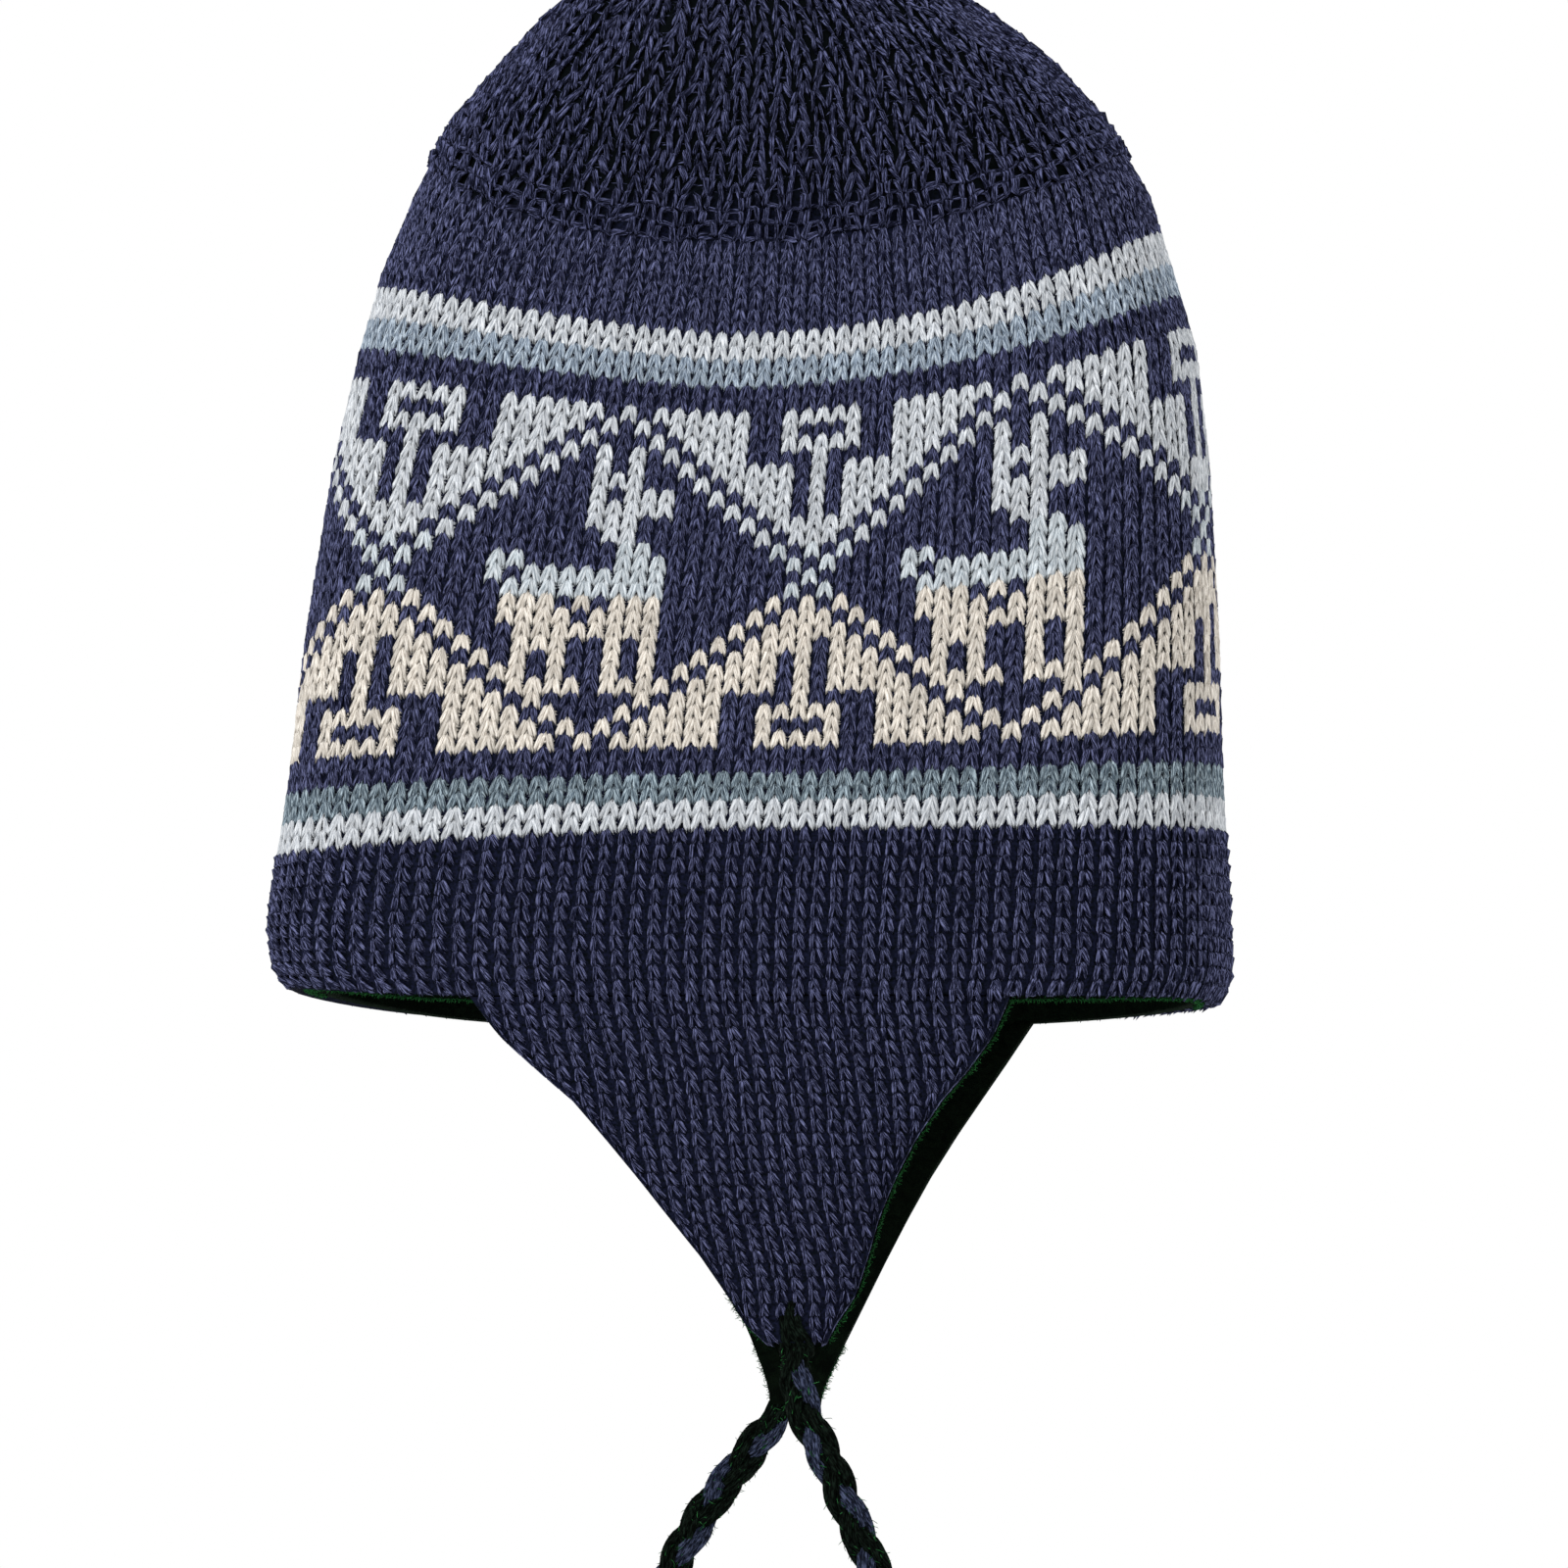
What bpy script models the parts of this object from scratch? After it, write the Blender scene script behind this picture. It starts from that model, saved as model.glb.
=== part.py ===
"""A knitted chullo hat with two ear flaps, a fleece lining and two braided ties.

Metres, +Z up. The origin is the centre of the head opening, in the plane of the
rim. +X is the front of the hat and the flaps hang on the +Y and -Y sides.
"""

from collections import namedtuple
from math import cos, pi, radians, sin

import bmesh
import bpy
from mathutils import Vector

# Driving dimensions
CROWN_LENGTH = 0.224         # front to back, where the knit is widest
CROWN_BREADTH = 0.144        # side to side at the rim
CROWN_HEIGHT = 0.258         # rim plane to the gathered top
KNIT_WALL = 0.003            # two strands of yarn thick
LINING_WALL = 0.0025         # fleece
LAYER_GAP = 0.0005           # air between the knit and the fleece
SEAM_GAP = 0.0003            # between pieces that are sewn edge to edge
RIM_SAG = 0.0025             # the rim dips by this over the ears
RIM_RISE_BACK = 0.0055       # from over the ears up to the back of the head
RIM_RISE_FRONT = 0.0015      # from over the ears up to the brow
PUCKER_COUNT = 10            # folds where the top is drawn together
PUCKER_DEPTH = 0.0022        # at the deepest, near the closing
LINING_DOME = 0.009          # rise of the fleece's closed top above its last seam
FLAP_WIDTH = 0.125           # at the rim
FLAP_DROP_RIGHT = 0.080      # rim to tip
FLAP_DROP_LEFT = 0.089
FLAP_SWAY_RIGHT = 0.013      # how far a tip hangs towards the brow
FLAP_SWAY_LEFT = 0.0075
FLAP_LEAN = 0.008            # how far a tip hangs in towards the cheek
TIE_DIAMETER = 0.009
KNOT_DIAMETER = 0.014
TUFT_LENGTH = 0.021          # strands below the knot
TUFT_SPREAD = 0.0055         # from the tuft's centre line to a lock's tip
LOCK_DIAMETER = 0.0042
LOCK_COUNT = 7

RING_POINTS = 60
FLAP_COLUMNS = 12
TIE_SIDES = 2                # bevel resolution of the round section
KNOT_SEGMENTS = 12
KNOT_RINGS = 8
LOCK_SIDES = 6
RIM_FADE = 0.15              # share of the height over which the rim's wave dies out
PUCKER_START = 0.82          # share of the height where the gathers begin
PUCKER_LIMIT = 0.12          # deepest pucker as a share of the ring's reach
LINING_EASE = 0.005          # extra room the fleece takes from the knit at its top
LOCK_ROOT = 0.17             # a lock's root from the knot's middle, share of its size
LOCK_UNEVEN = 0.07           # each lock of three is cut shorter by this share
TUFT_WEIGHT = 1.5            # how strongly a tuft hangs plumb below a leaning tie

# One row for each level: height as a share of CROWN_HEIGHT, reach to the back and
# to the front as shares of half the length, reach to either side as a share of
# half the breadth, and how square the section is (2 is an ellipse).
Level = namedtuple("Level", "height back front side square")
LEVELS = (
    Level(0.000, 0.955, 0.972, 0.995, 2.40),
    Level(0.020, 0.990, 1.000, 1.000, 2.40),
    Level(0.060, 1.000, 0.998, 1.000, 2.40),
    Level(0.125, 0.982, 0.991, 1.000, 2.38),
    Level(0.200, 0.955, 0.982, 0.995, 2.35),
    Level(0.335, 0.920, 0.973, 0.970, 2.30),
    Level(0.480, 0.866, 0.955, 0.915, 2.25),
    Level(0.585, 0.812, 0.929, 0.850, 2.20),
    Level(0.660, 0.763, 0.880, 0.782, 2.15),
    Level(0.730, 0.696, 0.830, 0.695, 2.10),
    Level(0.798, 0.616, 0.732, 0.588, 2.05),
    Level(0.845, 0.518, 0.634, 0.500, 2.00),
    Level(0.885, 0.429, 0.509, 0.415, 2.00),
    Level(0.915, 0.348, 0.402, 0.340, 2.00),
    Level(0.946, 0.250, 0.286, 0.240, 2.00),
    Level(0.973, 0.152, 0.170, 0.155, 2.00),
    Level(0.992, 0.076, 0.085, 0.085, 2.00),
)
LINING_LEVELS = 12           # the fleece follows this many of the levels

# The fleece's closed top: reach as a share of its last level, rise as a share of
# LINING_DOME.
DOME = ((0.72, 0.55), (0.38, 0.88))

# One row for each step down a flap: share of the drop, half width as a share of
# half of FLAP_WIDTH, and sway of the centre line as a share of the flap's sway. The
# left flap curls a little at its edges, so it hangs narrower.
FlapRow = namedtuple("FlapRow", "drop width sway")
FLAP_ROWS_RIGHT = (
    FlapRow(0.000, 1.000, 0.15),
    FlapRow(0.110, 0.915, 0.27),
    FlapRow(0.210, 0.797, 0.40),
    FlapRow(0.295, 0.685, 0.48),
    FlapRow(0.410, 0.573, 0.55),
    FlapRow(0.520, 0.478, 0.65),
    FlapRow(0.635, 0.389, 0.78),
    FlapRow(0.750, 0.309, 0.96),
    FlapRow(0.860, 0.238, 1.08),
    FlapRow(0.945, 0.168, 1.06),
    FlapRow(1.000, 0.112, 1.16),
)
FLAP_ROWS_LEFT = (
    FlapRow(0.000, 1.000, 0.10),
    FlapRow(0.110, 0.876, 0.23),
    FlapRow(0.210, 0.754, 0.41),
    FlapRow(0.295, 0.652, 0.56),
    FlapRow(0.410, 0.542, 0.61),
    FlapRow(0.520, 0.432, 0.80),
    FlapRow(0.635, 0.326, 0.98),
    FlapRow(0.750, 0.240, 1.03),
    FlapRow(0.860, 0.166, 1.01),
    FlapRow(0.945, 0.116, 0.95),
    FlapRow(1.000, 0.092, 0.90),
)

# Each tie's route from the flap's tip: towards the brow, in towards the chin, down.
TIE_ROUTE_RIGHT = (
    (0.0000, 0.0000, 0.0000),
    (-0.0002, 0.0002, 0.0060),
    (0.0005, 0.0006, 0.0120),
    (0.0028, 0.0012, 0.0185),
    (0.0068, 0.0020, 0.0264),
    (0.0120, 0.0030, 0.0389),
    (0.0162, 0.0038, 0.0485),
    (0.0196, 0.0044, 0.0570),
    (0.0214, 0.0048, 0.0640),
)
TIE_ROUTE_LEFT = (
    (-0.0032, 0.0000, 0.0012),
    (-0.0050, 0.0002, 0.0047),
    (-0.0075, 0.0004, 0.0080),
    (-0.0113, 0.0010, 0.0130),
    (-0.0163, 0.0018, 0.0195),
    (-0.0213, 0.0026, 0.0265),
    (-0.0260, 0.0034, 0.0341),
    (-0.0296, 0.0040, 0.0416),
    (-0.0321, 0.0045, 0.0486),
    (-0.0339, 0.0049, 0.0555),
)
TIE_POINTS = 14              # points read from the smooth curve through a route

NAVY = (0.031, 0.036, 0.095, 1.0)
FLEECE = (0.004, 0.007, 0.005, 1.0)
BRAID = (0.010, 0.014, 0.022, 1.0)


def clear_scene():
    """Remove what the file opened with."""
    for old in list(bpy.data.objects):
        bpy.data.objects.remove(old, do_unlink=True)


def cloth_material(name, colour, roughness):
    """A plain cloth finish."""
    material = bpy.data.materials.new(name)
    material.use_nodes = True
    shader = material.node_tree.nodes["Principled BSDF"]
    shader.inputs["Base Color"].default_value = colour
    shader.inputs["Roughness"].default_value = roughness
    shader.inputs["Metallic"].default_value = 0.0
    return material


def power(value, exponent):
    """A power that keeps the sign of its base."""
    return (1.0 if value >= 0.0 else -1.0) * abs(value) ** exponent


def rim_wave(x):
    """Height of the rim's edge at x: low over the ears, higher at back and brow."""
    along = x / (CROWN_LENGTH / 2)
    rise = RIM_RISE_FRONT if along > 0.0 else RIM_RISE_BACK
    return rise * along ** 4 - RIM_SAG


def blend_level(height):
    """The section at any share of the height, between the two rows around it."""
    for low, high in zip(LEVELS, LEVELS[1:]):
        if height <= high.height:
            break
    share = (height - low.height) / (high.height - low.height)
    return Level(*(a + (b - a) * share for a, b in zip(low, high)))


def crown_point(angle, height, puckered=True):
    """A point of the knit's outer face, at an angle round and a share of the height."""
    level = blend_level(height)
    reach = level.front if cos(angle) >= 0.0 else level.back
    x = reach * CROWN_LENGTH / 2 * power(cos(angle), 2 / level.square)
    y = level.side * CROWN_BREADTH / 2 * power(sin(angle), 2 / level.square)
    fade = max(0.0, 1.0 - height / RIM_FADE)
    point = Vector((x, y, height * CROWN_HEIGHT + fade * rim_wave(x)))
    gather = (height - PUCKER_START) / (1.0 - PUCKER_START)
    if puckered and gather > 0.0:
        size = Vector((x, y)).length
        depth = min(PUCKER_DEPTH * min(1.0, 2.0 * gather), PUCKER_LIMIT * size)
        scale = 1.0 + depth / size * cos(PUCKER_COUNT * angle)
        point.x *= scale
        point.y *= scale
    return point


def crown_normal(angle, height):
    """Outward direction of the unpuckered crown."""
    turn = 0.01
    rise = 0.004
    base = min(height, 1.0 - 2 * rise)
    here = crown_point(angle, base, False)
    round_it = crown_point(angle + turn, base, False) - here
    up_it = crown_point(angle, base + rise, False) - here
    return round_it.cross(up_it).normalized()


def ring_angles():
    """The angles of a ring's points, from the brow round by the left ear."""
    return [2 * pi * step / RING_POINTS for step in range(RING_POINTS)]


def loft(name, rings, pole=None):
    """An open surface through rings of points, closed at a pole where one is given."""
    mesh = bpy.data.meshes.new(name)
    work = bmesh.new()
    rows = [[work.verts.new(point) for point in ring] for ring in rings]
    for low, high in zip(rows, rows[1:]):
        for step in range(len(low)):
            after = (step + 1) % len(low)
            work.faces.new((low[step], low[after], high[after], high[step]))
    if pole is not None:
        top = work.verts.new(pole)
        last = rows[-1]
        for step in range(len(last)):
            work.faces.new((last[step], last[(step + 1) % len(last)], top))
    work.to_mesh(mesh)
    work.free()
    return bpy.data.objects.new(name, mesh)


def sheet(name, rows, outward_is_minus_y):
    """An open sheet through rows of points, facing away from the head."""
    mesh = bpy.data.meshes.new(name)
    work = bmesh.new()
    grid = [[work.verts.new(point) for point in row] for row in rows]
    for upper, lower in zip(grid, grid[1:]):
        for step in range(len(upper) - 1):
            face = [lower[step], lower[step + 1], upper[step + 1], upper[step]]
            work.faces.new(face if outward_is_minus_y else reversed(face))
    work.to_mesh(mesh)
    work.free()
    return bpy.data.objects.new(name, mesh)


def give_wall(piece, wall, material, collection):
    """Thicken a surface inwards, dress it and file it."""
    solid = piece.modifiers.new("wall", "SOLIDIFY")
    solid.thickness = wall
    solid.offset = -1.0
    piece.data.shade_smooth()
    piece.data.materials.append(material)
    collection.objects.link(piece)
    return piece


def knitted_crown(material, collection):
    """The knit from the rim to the gathered top."""
    rings = []
    for level in LEVELS:
        rings.append([crown_point(angle, level.height) for angle in ring_angles()])
    pole = Vector((0.0, 0.0, CROWN_HEIGHT))
    return give_wall(loft("knitted_crown", rings, pole), KNIT_WALL, material, collection)


def crown_lining(material, collection):
    """The fleece cap inside the knit, with a shallow closed top of its own."""
    rings = []
    last = LEVELS[LINING_LEVELS - 1].height
    for level in LEVELS[:LINING_LEVELS]:
        depth = KNIT_WALL + LAYER_GAP + LINING_EASE * (level.height / last) ** 4
        ring = []
        for angle in ring_angles():
            point = crown_point(angle, level.height, False)
            ring.append(point - depth * crown_normal(angle, level.height))
        rings.append(ring)
    top = sum((point.z for point in rings[-1])) / RING_POINTS
    for reach, rise in DOME:
        ring = []
        for point in rings[LINING_LEVELS - 1]:
            height = top + rise * LINING_DOME
            ring.append(Vector((point.x * reach, point.y * reach, height)))
        rings.append(ring)
    pole = Vector((0.0, 0.0, top + LINING_DOME))
    return give_wall(loft("crown_lining", rings, pole), LINING_WALL, material, collection)


def side_reach(x):
    """How far out the rim's ring lies at x."""
    rim = LEVELS[0]
    reach = (rim.front if x >= 0.0 else rim.back) * CROWN_LENGTH / 2
    share = 1.0 - abs(x / reach) ** rim.square
    return rim.side * CROWN_BREADTH / 2 * share ** (1 / rim.square)


def flap_rows(shape, side, drop, sway, depth):
    """Rows of points down a flap, depth inside its outer face."""
    rows = []
    for row in shape:
        points = []
        for column in range(FLAP_COLUMNS + 1):
            across = 2.0 * column / FLAP_COLUMNS - 1.0
            x = row.sway * sway + across * row.width * FLAP_WIDTH / 2
            top = rim_wave(x) - SEAM_GAP
            low = -RIM_SAG - drop
            out = side_reach(x) - depth - FLAP_LEAN * row.drop ** 1.5
            points.append(Vector((x, side * out, top + (low - top) * row.drop)))
        rows.append(points)
    return rows


def ear_flap(name, shape, side, drop, sway, finishes, collection):
    """One knitted flap with its fleece behind it."""
    knit, fleece = finishes
    outward = side < 0
    panel = sheet("ear_flap_" + name, flap_rows(shape, side, drop, sway, 0.0), outward)
    give_wall(panel, KNIT_WALL, knit, collection)
    inner = flap_rows(shape, side, drop, sway, KNIT_WALL + LAYER_GAP)
    backing = sheet("flap_lining_" + name, inner, outward)
    give_wall(backing, LINING_WALL, fleece, collection)


def flap_tip(shape, side, drop, sway):
    """Where a tie leaves its flap: the middle of the tip's two layers."""
    x = shape[-1].sway * sway
    middle = (KNIT_WALL + LAYER_GAP + LINING_WALL) / 2
    y = side * (side_reach(x) - FLAP_LEAN - middle)
    return Vector((x, y, -RIM_SAG - drop - SEAM_GAP))


def smooth_route(points, count):
    """Evenly spaced readings of a smooth curve through the given points."""
    padded = [2 * points[0] - points[1]] + points + [2 * points[-1] - points[-2]]
    route = []
    for step in range(count):
        place = step * (len(points) - 1) / (count - 1)
        span = min(int(place), len(points) - 2)
        t = place - span
        a, b, c, d = padded[span:span + 4]
        route.append(0.5 * (2 * b + (c - a) * t + (2 * a - 5 * b + 4 * c - d) * t ** 2
                            + (3 * b - a - 3 * c + d) * t ** 3))
    return route


def tie(name, start, side, offsets, material, collection):
    """A braided tie as a plain round cord, and its last point and direction."""
    through = [start + Vector((x, -side * y, -z)) for x, y, z in offsets]
    route = smooth_route(through, TIE_POINTS)
    curve = bpy.data.curves.new("tie_" + name, "CURVE")
    curve.dimensions = "3D"
    curve.bevel_depth = TIE_DIAMETER / 2
    curve.bevel_resolution = TIE_SIDES
    curve.use_fill_caps = True
    line = curve.splines.new("POLY")
    line.points.add(len(route) - 1)
    for knot, place in zip(line.points, route):
        knot.co = (*place, 1.0)
    curve.materials.append(material)
    collection.objects.link(bpy.data.objects.new("tie_" + name, curve))
    return route[-1], (route[-1] - route[-2]).normalized()


def lock_mesh(work, root, tip, turn):
    """One tapered lock of strands, closed at both ends."""
    along = (tip - root).normalized()
    across = along.orthogonal().normalized()
    beside = along.cross(across)
    rows = []
    for share, width in ((0.0, 1.0), (0.55, 1.05), (1.0, 0.55)):
        centre = root + (tip - root) * share
        row = []
        for step in range(LOCK_SIDES):
            angle = 2 * pi * step / LOCK_SIDES + turn
            reach = LOCK_DIAMETER / 2 * width
            row.append(work.verts.new(centre + reach * (across * cos(angle) + beside * sin(angle))))
        rows.append(row)
    for low, high in zip(rows, rows[1:]):
        for step in range(LOCK_SIDES):
            after = (step + 1) % LOCK_SIDES
            work.faces.new((low[step], low[after], high[after], high[step]))
    work.faces.new(reversed(rows[0]))
    work.faces.new(rows[-1])


def tie_tuft(name, end, along, material, collection, cutters):
    """The knot that ends a tie, with the loose strands below it fused to it."""
    centre = end + along * (KNOT_DIAMETER / 2 + SEAM_GAP)
    mesh = bpy.data.meshes.new("tie_tuft_" + name)
    work = bmesh.new()
    bmesh.ops.create_uvsphere(work, u_segments=KNOT_SEGMENTS, v_segments=KNOT_RINGS,
                              radius=KNOT_DIAMETER / 2)
    bmesh.ops.translate(work, verts=work.verts, vec=centre)
    work.to_mesh(mesh)
    work.free()
    knot = bpy.data.objects.new("tie_tuft_" + name, mesh)
    down = (along + Vector((0.0, 0.0, -TUFT_WEIGHT))).normalized()
    across = down.orthogonal().normalized()
    beside = down.cross(across)
    for number in range(LOCK_COUNT):
        angle = 2 * pi * number / (LOCK_COUNT - 1)
        out = 0.0 if number == LOCK_COUNT - 1 else 1.0
        spoke = (across * cos(angle) + beside * sin(angle)) * out
        root = centre + spoke * KNOT_DIAMETER * LOCK_ROOT
        uneven = 1.0 - LOCK_UNEVEN * (number % 3)
        reach = KNOT_DIAMETER / 2 + TUFT_LENGTH * uneven
        tip = centre + down * reach + spoke * TUFT_SPREAD
        strand = bpy.data.meshes.new("lock_%s_%d" % (name, number))
        work = bmesh.new()
        lock_mesh(work, root, tip, radians(7.0 * number))
        work.to_mesh(strand)
        work.free()
        lock = bpy.data.objects.new(strand.name, strand)
        lock.hide_render = True
        lock.display_type = "WIRE"
        cutters.objects.link(lock)
        union = knot.modifiers.new("lock_%d" % number, "BOOLEAN")
        union.operation = "UNION"
        union.object = lock
    knot.data.shade_smooth()
    knot.data.materials.append(material)
    collection.objects.link(knot)


def main():
    clear_scene()
    parts = bpy.data.collections.new("chullo_hat")
    cutters = bpy.data.collections.new("cutters")
    bpy.context.scene.collection.children.link(parts)
    bpy.context.scene.collection.children.link(cutters)
    knit = cloth_material("navy_knit", NAVY, 0.9)
    fleece = cloth_material("dark_fleece", FLEECE, 0.95)
    braid = cloth_material("braided_yarn", BRAID, 0.9)
    knitted_crown(knit, parts)
    crown_lining(fleece, parts)
    flaps = (
        ("right", FLAP_ROWS_RIGHT, -1, FLAP_DROP_RIGHT, FLAP_SWAY_RIGHT, TIE_ROUTE_RIGHT),
        ("left", FLAP_ROWS_LEFT, 1, FLAP_DROP_LEFT, FLAP_SWAY_LEFT, TIE_ROUTE_LEFT),
    )
    for name, shape, side, drop, sway, route in flaps:
        ear_flap(name, shape, side, drop, sway, (knit, fleece), parts)
        start = flap_tip(shape, side, drop, sway)
        end, along = tie(name, start, side, route, braid, parts)
        tie_tuft(name, end, along, braid, parts, cutters)


main()
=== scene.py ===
"""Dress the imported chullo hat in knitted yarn, fleece, braids and tufts.

Metres, +Z up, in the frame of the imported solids: the origin is the centre of the
head opening, +X is the brow and the ear flaps hang on the +Y and -Y sides.
"""

import logging
from dataclasses import dataclass
from enum import Enum
from math import cos, pi, radians, sin

import bpy
import numpy as np
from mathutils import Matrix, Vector


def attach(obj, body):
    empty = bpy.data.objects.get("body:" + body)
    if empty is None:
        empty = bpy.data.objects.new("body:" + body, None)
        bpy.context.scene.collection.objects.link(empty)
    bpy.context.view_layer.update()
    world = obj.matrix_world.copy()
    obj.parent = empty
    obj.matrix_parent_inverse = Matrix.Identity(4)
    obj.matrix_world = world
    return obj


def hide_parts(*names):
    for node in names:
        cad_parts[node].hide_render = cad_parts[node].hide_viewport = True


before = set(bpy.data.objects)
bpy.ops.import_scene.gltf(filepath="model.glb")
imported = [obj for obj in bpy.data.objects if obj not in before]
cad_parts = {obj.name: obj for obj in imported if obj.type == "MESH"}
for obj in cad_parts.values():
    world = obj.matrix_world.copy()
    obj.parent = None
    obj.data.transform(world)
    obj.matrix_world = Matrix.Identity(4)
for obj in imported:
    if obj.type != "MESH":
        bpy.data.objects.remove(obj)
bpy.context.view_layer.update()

LOG = logging.getLogger("chullo")
BODY = "root"
MM = 0.001

# Sizes that the solids have too
CROWN_LENGTH = 0.224
CROWN_BREADTH = 0.144
CROWN_HEIGHT = 0.258
KNIT_WALL = 0.003
LINING_WALL = 0.0025
LAYER_GAP = 0.0005
LINING_EASE = 0.005
LINING_TOP = 0.845           # share of the height where the fleece's dome starts
LINING_DOME = 0.009
SEAM_GAP = 0.0003
RIM_SAG = 0.0025
RIM_RISE_BACK = 0.0055
RIM_RISE_FRONT = 0.0015
RIM_FADE = 0.15
PUCKER_COUNT = 10
PUCKER_DEPTH = 0.0022
PUCKER_START = 0.82
PUCKER_LIMIT = 0.12
FLAP_WIDTH = 0.125
FLAP_LEAN = 0.008
KNOT_DIAMETER = 0.014

# Height share, reach to the back, the brow and the sides, squareness
LEVELS = np.array((
    (0.000, 0.955, 0.972, 0.995, 2.40),
    (0.020, 0.990, 1.000, 1.000, 2.40),
    (0.060, 1.000, 0.998, 1.000, 2.40),
    (0.125, 0.982, 0.991, 1.000, 2.38),
    (0.200, 0.955, 0.982, 0.995, 2.35),
    (0.335, 0.920, 0.973, 0.970, 2.30),
    (0.480, 0.866, 0.955, 0.915, 2.25),
    (0.585, 0.812, 0.929, 0.850, 2.20),
    (0.660, 0.763, 0.880, 0.782, 2.15),
    (0.730, 0.696, 0.830, 0.695, 2.10),
    (0.798, 0.616, 0.732, 0.588, 2.05),
    (0.845, 0.518, 0.634, 0.500, 2.00),
    (0.885, 0.429, 0.509, 0.415, 2.00),
    (0.915, 0.348, 0.402, 0.340, 2.00),
    (0.946, 0.250, 0.286, 0.240, 2.00),
    (0.973, 0.152, 0.170, 0.155, 2.00),
    (0.992, 0.076, 0.085, 0.085, 2.00),
    (1.000, 0.000, 0.000, 0.000, 2.00),
))

# Share of the drop, half width and sway of a flap's centre line
FLAP_ROWS_RIGHT = np.array((
    (0.000, 1.000, 0.15),
    (0.110, 0.915, 0.27),
    (0.210, 0.797, 0.40),
    (0.295, 0.685, 0.48),
    (0.410, 0.573, 0.55),
    (0.520, 0.478, 0.65),
    (0.635, 0.389, 0.78),
    (0.750, 0.309, 0.96),
    (0.860, 0.238, 1.08),
    (0.945, 0.168, 1.06),
    (1.000, 0.112, 1.16),
))
FLAP_ROWS_LEFT = np.array((
    (0.000, 1.000, 0.10),
    (0.110, 0.876, 0.23),
    (0.210, 0.754, 0.41),
    (0.295, 0.652, 0.56),
    (0.410, 0.542, 0.61),
    (0.520, 0.432, 0.80),
    (0.635, 0.326, 0.98),
    (0.750, 0.240, 1.03),
    (0.860, 0.166, 1.01),
    (0.945, 0.116, 0.95),
    (1.000, 0.092, 0.90),
))

TIE_ROUTE_RIGHT = (
    (0.0000, 0.0000, 0.0000),
    (-0.0002, 0.0002, 0.0060),
    (0.0005, 0.0006, 0.0120),
    (0.0028, 0.0012, 0.0185),
    (0.0068, 0.0020, 0.0264),
    (0.0120, 0.0030, 0.0389),
    (0.0162, 0.0038, 0.0485),
    (0.0196, 0.0044, 0.0570),
    (0.0214, 0.0048, 0.0640),
)
TIE_ROUTE_LEFT = (
    (-0.0032, 0.0000, 0.0012),
    (-0.0050, 0.0002, 0.0047),
    (-0.0075, 0.0004, 0.0080),
    (-0.0113, 0.0010, 0.0130),
    (-0.0163, 0.0018, 0.0195),
    (-0.0213, 0.0026, 0.0265),
    (-0.0260, 0.0034, 0.0341),
    (-0.0296, 0.0040, 0.0416),
    (-0.0321, 0.0045, 0.0486),
    (-0.0339, 0.0049, 0.0555),
)

# The knit: 120 stitches round, five repeats of 24
COLUMNS = 120
HALF_COLUMNS = COLUMNS // 2
REPEAT = 24
STEM_COLUMN = 30             # the stem of a figure over the right ear
WARP = -0.183                # stitches are drawn wider at brow and back than over the ears
FLAT = 0.021                 # and wider still between the two
TAUT = 0.040                 # where the knit is stretched round the hat's ends
SKEW = -0.0087               # and away from the ears they are drawn towards the back
STEM_PHASE = 0.052
COLUMN_LEAN = 0.225          # how far a column leans to the brow, half turns a metre
LEAN_FROM = 0.063

# The band's figures, charted: one repeat from a stem to the next, top row first
CHART = (
    "###..######.#.######..##",
    "..#..#####.#.#.#####..#.",
    "###..####.#...#.####..##",
    "#....###.#.#.#.#.###....",
    "#.#####.#..#.#..#.#####.",
    "#.####.#...###...#.####.",
    "#.###.#....#.###..#.###.",
    "#.##.#.....#####...#.##.",
    "###.#......###......#.##",
    "##.#........##.......#.#",
    "#.#..........##.......#.",
    ".#....##.....###.......#",
    "#.....#.########........",
    ".#.....#########.......#",
    "#.#....###.#.###......#.",
    "##.#...####.####.....#.#",
    "###.#...########....#.##",
    "#.##.#..###..#.#...#.###",
    "#.###.#.#.#..#.#..#.###.",
    "#.####.##.#..#.#.#.####.",
    "#.#####.####.####.#####.",
    "#....###.#.....#.###....",
    "###..####.#...#.####..##",
    "..#..#####.#.#.#####..#.",
    "###..######.#.######..##",
)
CHART_TOP_ROW = 41
SILVER_LINES = 10            # the chart's upper lines are silver, and from here pale blue
PALE_LINES = 14              # and from here cream
RIB_ROWS = 11
BAND_EDGE_ROWS = (15, 16, 42, 43)
UPPER_FROM = 48
LOOSE_FROM = 56

WAVE_SCALE = 0.314           # scale of a wave texture whose bands are one unit apart
UV_SHIFT = 400.0             # mm, how far apart two lengths may lie in the yarn's UV map
TUBE_SIDES = 6
HAIR_RADIUS = 0.0001         # coarser than real, so that the hairs show
GOLDEN_ANGLE = 2.39996

class Side(Enum):
    """The two ears, by the sign of Y."""

    RIGHT = -1
    LEFT = 1

    @property
    def word(self) -> str:
        """The side as the pieces' names have it."""
        return self.name.lower()


class Yarn(Enum):
    """The yarns that the hat is knitted and braided from."""

    NAVY = 0
    SILVER = 1
    PALE_BLUE = 2
    CREAM = 3
    GREY_BLUE = 4
    GREY_TEAL = 5
    # the navy yarn again, painted darker as shade for the crown's loose top
    NAVY_PAINTED_SHADE = 6


class TieYarn(Enum):
    """The yarns that the ties are braided from, and their stray hairs."""

    NAVY = 0
    DARK = 1
    # stray hairs, whose green is partly the fibres' cast and partly painted sheen
    HAIR = 2


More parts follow.
